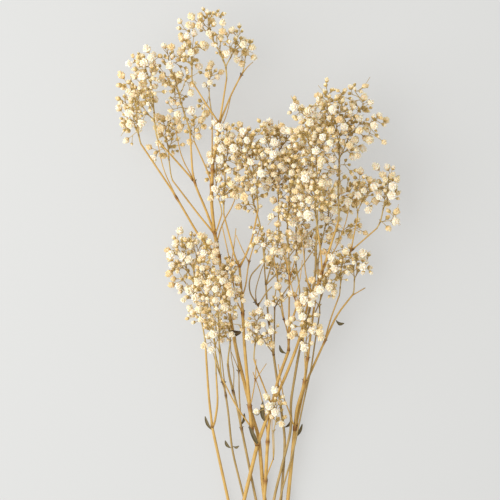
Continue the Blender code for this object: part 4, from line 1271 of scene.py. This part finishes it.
def makeStem(name):
    piece = Piece(name)
    rng = random.Random(name)
    branches = stemRoutes[name] + fineBranches.get(name, ())
    for number, (radiusStart, radiusEnd, points) in enumerate(branches):
        route, lengths = roundedRoute(points)
        joints = jointsOf(branches, number, route)
        swollen = [lengths[joint] for joint in joints] + ([0.0] if number else [])
        radii, knots = [], []
        for length in lengths:
            radius = lerp(radiusStart, radiusEnd, length / lengths[-1])
            swells = [math.exp(-((length - spot) / stemLook["knotLength"]) ** 2) for spot in swollen]
            near = max(swells, default=0.0)
            radii.append(radius * (1 + stemLook["knotSwell"] * near + rng.uniform(-1, 1) * stemLook["waver"]))
            knots.append(near)
        base = piece.tube(route, radii, stemLook["sides"], knots, rng.uniform(*stemLook["tone"]))
        if number == 0:
            cutEnd(piece, base)
        for index in joints:
            way = (route[index + 1] - route[index - 1]).normalized()
            addBracts(piece, route[index], way, radii[index], rng, rng.uniform(*stemLook["bractLength"]))
    bmesh.ops.recalc_face_normals(piece.bm, faces=piece.bm.faces)
    stalk, slot = (strawStalk, "straw_stem") if name in strawStems else (oliveStalk, "olive_stem")
    piece.finish((stalk, dryLeaf, dryLeaf, pith), slot)


def cutEnd(piece, base):
    # the lower end is cut at a slant, and its pith lies a little inside the rind
    centre = base.calc_center_median()
    for vert in base.verts:
        vert.co += Vector((0, -1, 0)) * stemLook["cutLean"] * (vert.co.x - centre.x)
    bmesh.ops.inset_individual(piece.bm, faces=[base], thickness=stemLook["pithInset"])
    base.material_index = finishNumber["pith"]
    inward = -base.normal
    for vert in base.verts:
        vert.co += inward * stemLook["pithDepth"]


for name in stemRoutes:
    makeStem(name)
print("stems made,", len(stemRoutes))


# Sprays: every twig is a gently bent tube, and every bloom a floret at its tip
twigLook = {
    "sides": 5,
    "step": 2.4,
    "tip": 0.2,
    "thickening": 0.08,
    "widest": 0.48,
    "taper": 2.5,
    "stiffness": 0.42,
    "tone": (0.3, 0.8),
    "rootSink": 0.6,
    "rootShare": 0.98,
    "forkSwell": 0.3,
    "forkKnot": 0.8,
    "bract": (0.9, 1.6),
    "bractOdds": 0.8,
    "bloomTone": (0.0, 1.0),
    "wideTone": 0.9,
    "bloomHeight": (0.9, 1.1),
}


def thickness(carried):
    swell = twigLook["thickening"] * (math.sqrt(carried) - 1)
    return min(twigLook["widest"], twigLook["tip"] + swell)


def bentPlaces(start, end, heading, count):
    # places along a twig that leaves in one direction and swings to its own
    reach = (end - start).length
    lead = heading * reach * twigLook["stiffness"]
    own = (end - start).normalized() * reach
    places = []
    for index in range(count):
        part = index / (count - 1)
        square, cube = part * part, part * part * part
        leadShare = cube - 2 * square + part
        places.append(start * (2 * cube - 3 * square + 1) + end * (3 * square - 2 * cube)
                      + (lead + own * (1 - twigLook["stiffness"])) * leadShare + own * (cube - square))
    return places


def addTwig(piece, twig, heading, radiusStart, tone, rng):
    start, end = twig["start"], twig["end"]
    if twig["side"]:
        radiusStart = thickness(1)
    count = max(3, math.ceil((end - start).length / twigLook["step"]) + 1)
    radiusEnd = thickness(twig["carried"])
    places = bentPlaces(start, end, heading, count)
    shares = [min(1.0, twigLook["taper"] * index / (count - 1)) for index in range(count)]
    radii = [lerp(radiusStart, radiusEnd, share) for share in shares]
    knots = [0.0] * count
    if twig["kids"]:
        radii[-1] *= 1 + twigLook["forkSwell"]
        knots[-1] = twigLook["forkKnot"]
    piece.tube(places, radii, twigLook["sides"], knots, tone)
    way = (places[-1] - places[-2]).normalized()
    if twig["kids"] and rng.random() < twigLook["bractOdds"]:
        addBracts(piece, end, way, radiusEnd, rng, rng.uniform(*twigLook["bract"]))
    if twig["bloom"]:
        addFloret(piece, twig, way, rng)
    for kid in twig["kids"] + twig["sides"]:
        addTwig(piece, kid, way, radiusEnd, tone, rng)


def addFloret(piece, twig, way, rng):
    place, radius, kind = twig["bloom"]
    mesh = rng.choice(florets[kind])
    turn = way.to_track_quat("Z", "Y").to_matrix().to_4x4()
    spin = Matrix.Rotation(rng.uniform(0, 2 * math.pi), 4, "Z")
    size = Matrix.Diagonal((radius, radius, radius * rng.uniform(*twigLook["bloomHeight"]), 1))
    tone = twigLook["wideTone"] if twig["wide"] else rng.uniform(*twigLook["bloomTone"])
    piece.place(mesh, Matrix.Translation(place) @ turn @ spin @ size, tone)


def makeSpray(name, root):
    piece = Piece(name)
    rng = random.Random("spray of " + name)
    stem, branch = sprayPlans[name][:2]
    radiusEnd, points = stemRoutes[stem][branch][1:]
    heading = (Vector(points[-1]) - Vector(points[-2])).normalized()
    root["start"] = root["start"] - heading * twigLook["rootSink"]
    tone = rng.uniform(*twigLook["tone"])
    addTwig(piece, root, heading, radiusEnd * twigLook["rootShare"], tone, rng)
    bmesh.ops.recalc_face_normals(piece.bm, faces=piece.bm.faces)
    piece.finish((twigStalk, petal, calyx), "cream_bloom")


held = {name: addLooseBlooms(name, root, space) for name, root in grownSprays.items()}
looseCount = sum(twig["side"] for twigs in held.values() for twig in twigs)
print("loose blooms added,", looseCount)
thinTwigs = [twig for name, twigs in held.items() for twig in addSideBuds(name, twigs, space)]
print("side buds added,", sum(twig["side"] for twig in thinTwigs) - looseCount)
print("wide blooms opened and added,", openWideBlooms(thinTwigs, space))
for name, root in grownSprays.items():
    makeSpray(name, root)
print("sprays made,", len(grownSprays))


# Leaves: dry blades with a midrib, a curl across and a crisp wavy edge
leafLook = {
    "columns": 8,
    "rows": 20,
    "thickness": 0.22,
    "outline": 0.8,
    "broad": 0.95,
    "slim": 0.72,
    "curl": 0.5,
    "rib": 0.14,
    "ribReach": 4,
    "wave": 0.16,
    "waves": 3.5,
    "footReach": 0.8,
    "footFade": 4,
    "veins": 60,
    "veinLean": 7,
    "veinEdge": 0.8,
    "veinPale": 2.5,
    "tone": 0.85,
}
broadLeaves = ("leaf_f_joint", "leaf_f_dark", "leaf_f_tongue", "leaf_f_long")
darkLeaves = {"leaf_f_dark": 0.15, "leaf_f_tongue": 0.35, "leaf_j_curl": 0.4}


def makeLeaf(name):
    width, arch = leafPlans[name][3:]
    seat, way, normal = leafSeat(name)
    across = way.normalized().cross(Vector((0, 0, 1))).normalized()
    face = across.cross(way.normalized())
    phase = random.Random(name).uniform(0, 2 * math.pi)
    piece = Piece(name)
    bm = piece.bm
    rim = bm.verts.layers.float["rim"]
    bmesh.ops.create_grid(bm, x_segments=leafLook["columns"], y_segments=leafLook["rows"], size=1.0)
    for vert in bm.verts:
        side, part = vert.co.x, (vert.co.y + 1) / 2
        outline = math.sin(math.pi * lerp(leafRule["foot"], leafRule["point"], part)) ** leafLook["outline"]
        half = width / 2 * outline
        half *= leafLook["broad"] if name in broadLeaves else leafLook["slim"]
        ribbed = max(0.0, 1 - abs(side) * leafLook["ribReach"])
        lift = leafLook["curl"] * half * side * side - leafLook["rib"] * ribbed
        lift += leafLook["wave"] * side * math.sin(leafLook["waves"] * 2 * math.pi * part + phase)
        bend = normal * arch * math.sin(math.pi * part)
        vert.co = seat + way * part + bend + face * lift + across * side * half
        vert.co -= normal * leafLook["footReach"] * (1 - part) ** leafLook["footFade"]
        vein = math.cos(part * leafLook["veins"] + abs(side) * leafLook["veinLean"]) - leafLook["veinEdge"]
        vert[rim] = max(ribbed, leafLook["veinPale"] * max(0.0, vein))
        vert[piece.tone] = darkLeaves.get(name, leafLook["tone"])
    bmesh.ops.solidify(bm, geom=bm.faces[:], thickness=leafLook["thickness"])
    bmesh.ops.recalc_face_normals(bm, faces=bm.faces)
    for face in bm.faces:
        face.smooth = True
    piece.finish((dryLeaf,), "dry_leaf")


for name in leafPlans:
    makeLeaf(name)
print("leaves made,", len(leafPlans))


# Stage: a plain pale floor with a faint painted glow, a camera that looks straight down, and soft studio
# light
stage = {
    "floorSize": 4.0,
    "floorColour": (0.245, 0.247, 0.243, 1),
    # painted light: the floor's own glow, which lightens the shadows cast on it
    "paintedFloorGlow": 0.445,
    "glowColour": (1.0, 1.0, 0.985, 1),
    "roughness": 0.9,  # of the floor
    "specular": 0.2,
    "viewCentre": (-0.006, 0.076),
    "viewWidth": 0.3,
    "lens": 150.0,
    "sensor": 36.0,
    "focusHeight": 0.03,
    "keyPlace": (-0.6, 0.12, 0.75),
    "keySize": 1.1,
    "keyPower": 11.0,
    "keyColour": (0.985, 0.99, 1.0),
    "skyColour": (1.0, 0.985, 0.955, 1),
    "skyPower": 0.62,
}


def makeFloor():
    # the floor glows faintly with painted light, like a light table, which lightens the shadows on it and
    # keeps them soft
    bm = bmesh.new()
    bmesh.ops.create_grid(bm, x_segments=1, y_segments=1, size=stage["floorSize"] / 2)
    finish = Finish("paleFloor", stage)
    finish.shader.inputs["Base Color"].default_value = stage["floorColour"]
    finish.shader.inputs["Emission Color"].default_value = stage["glowColour"]
    finish.shader.inputs["Emission Strength"].default_value = stage["paintedFloorGlow"]
    floor = newObject("floor", meshFrom(bm, "floor"))
    floor.data.materials.append(finish.material)


def makeCamera():
    data = bpy.data.cameras.new("viewFromAbove")
    data.lens = stage["lens"]
    data.sensor_width = stage["sensor"]
    camera = newObject("viewFromAbove", data)
    distance = stage["viewWidth"] * stage["lens"] / stage["sensor"]
    camera.location = (*stage["viewCentre"], stage["focusHeight"] + distance)
    bpy.context.scene.camera = camera


def makeLights():
    data = bpy.data.lights.new("softKey", "AREA")
    data.size = stage["keySize"]
    data.energy = stage["keyPower"]
    data.color = stage["keyColour"]
    key = newObject("softKey", data)
    key.location = stage["keyPlace"]
    aim = Vector((*stage["viewCentre"], 0)) - Vector(stage["keyPlace"])
    key.rotation_euler = aim.to_track_quat("-Z", "Y").to_euler()
    world = bpy.data.worlds.new("softSky")
    world.use_nodes = True
    sky = world.node_tree.nodes["Background"]
    sky.inputs["Color"].default_value = stage["skyColour"]
    sky.inputs["Strength"].default_value = stage["skyPower"]
    bpy.context.scene.world = world


makeFloor()
makeCamera()
makeLights()
bpy.context.scene.view_settings.view_transform = "Standard"
print("stage set")
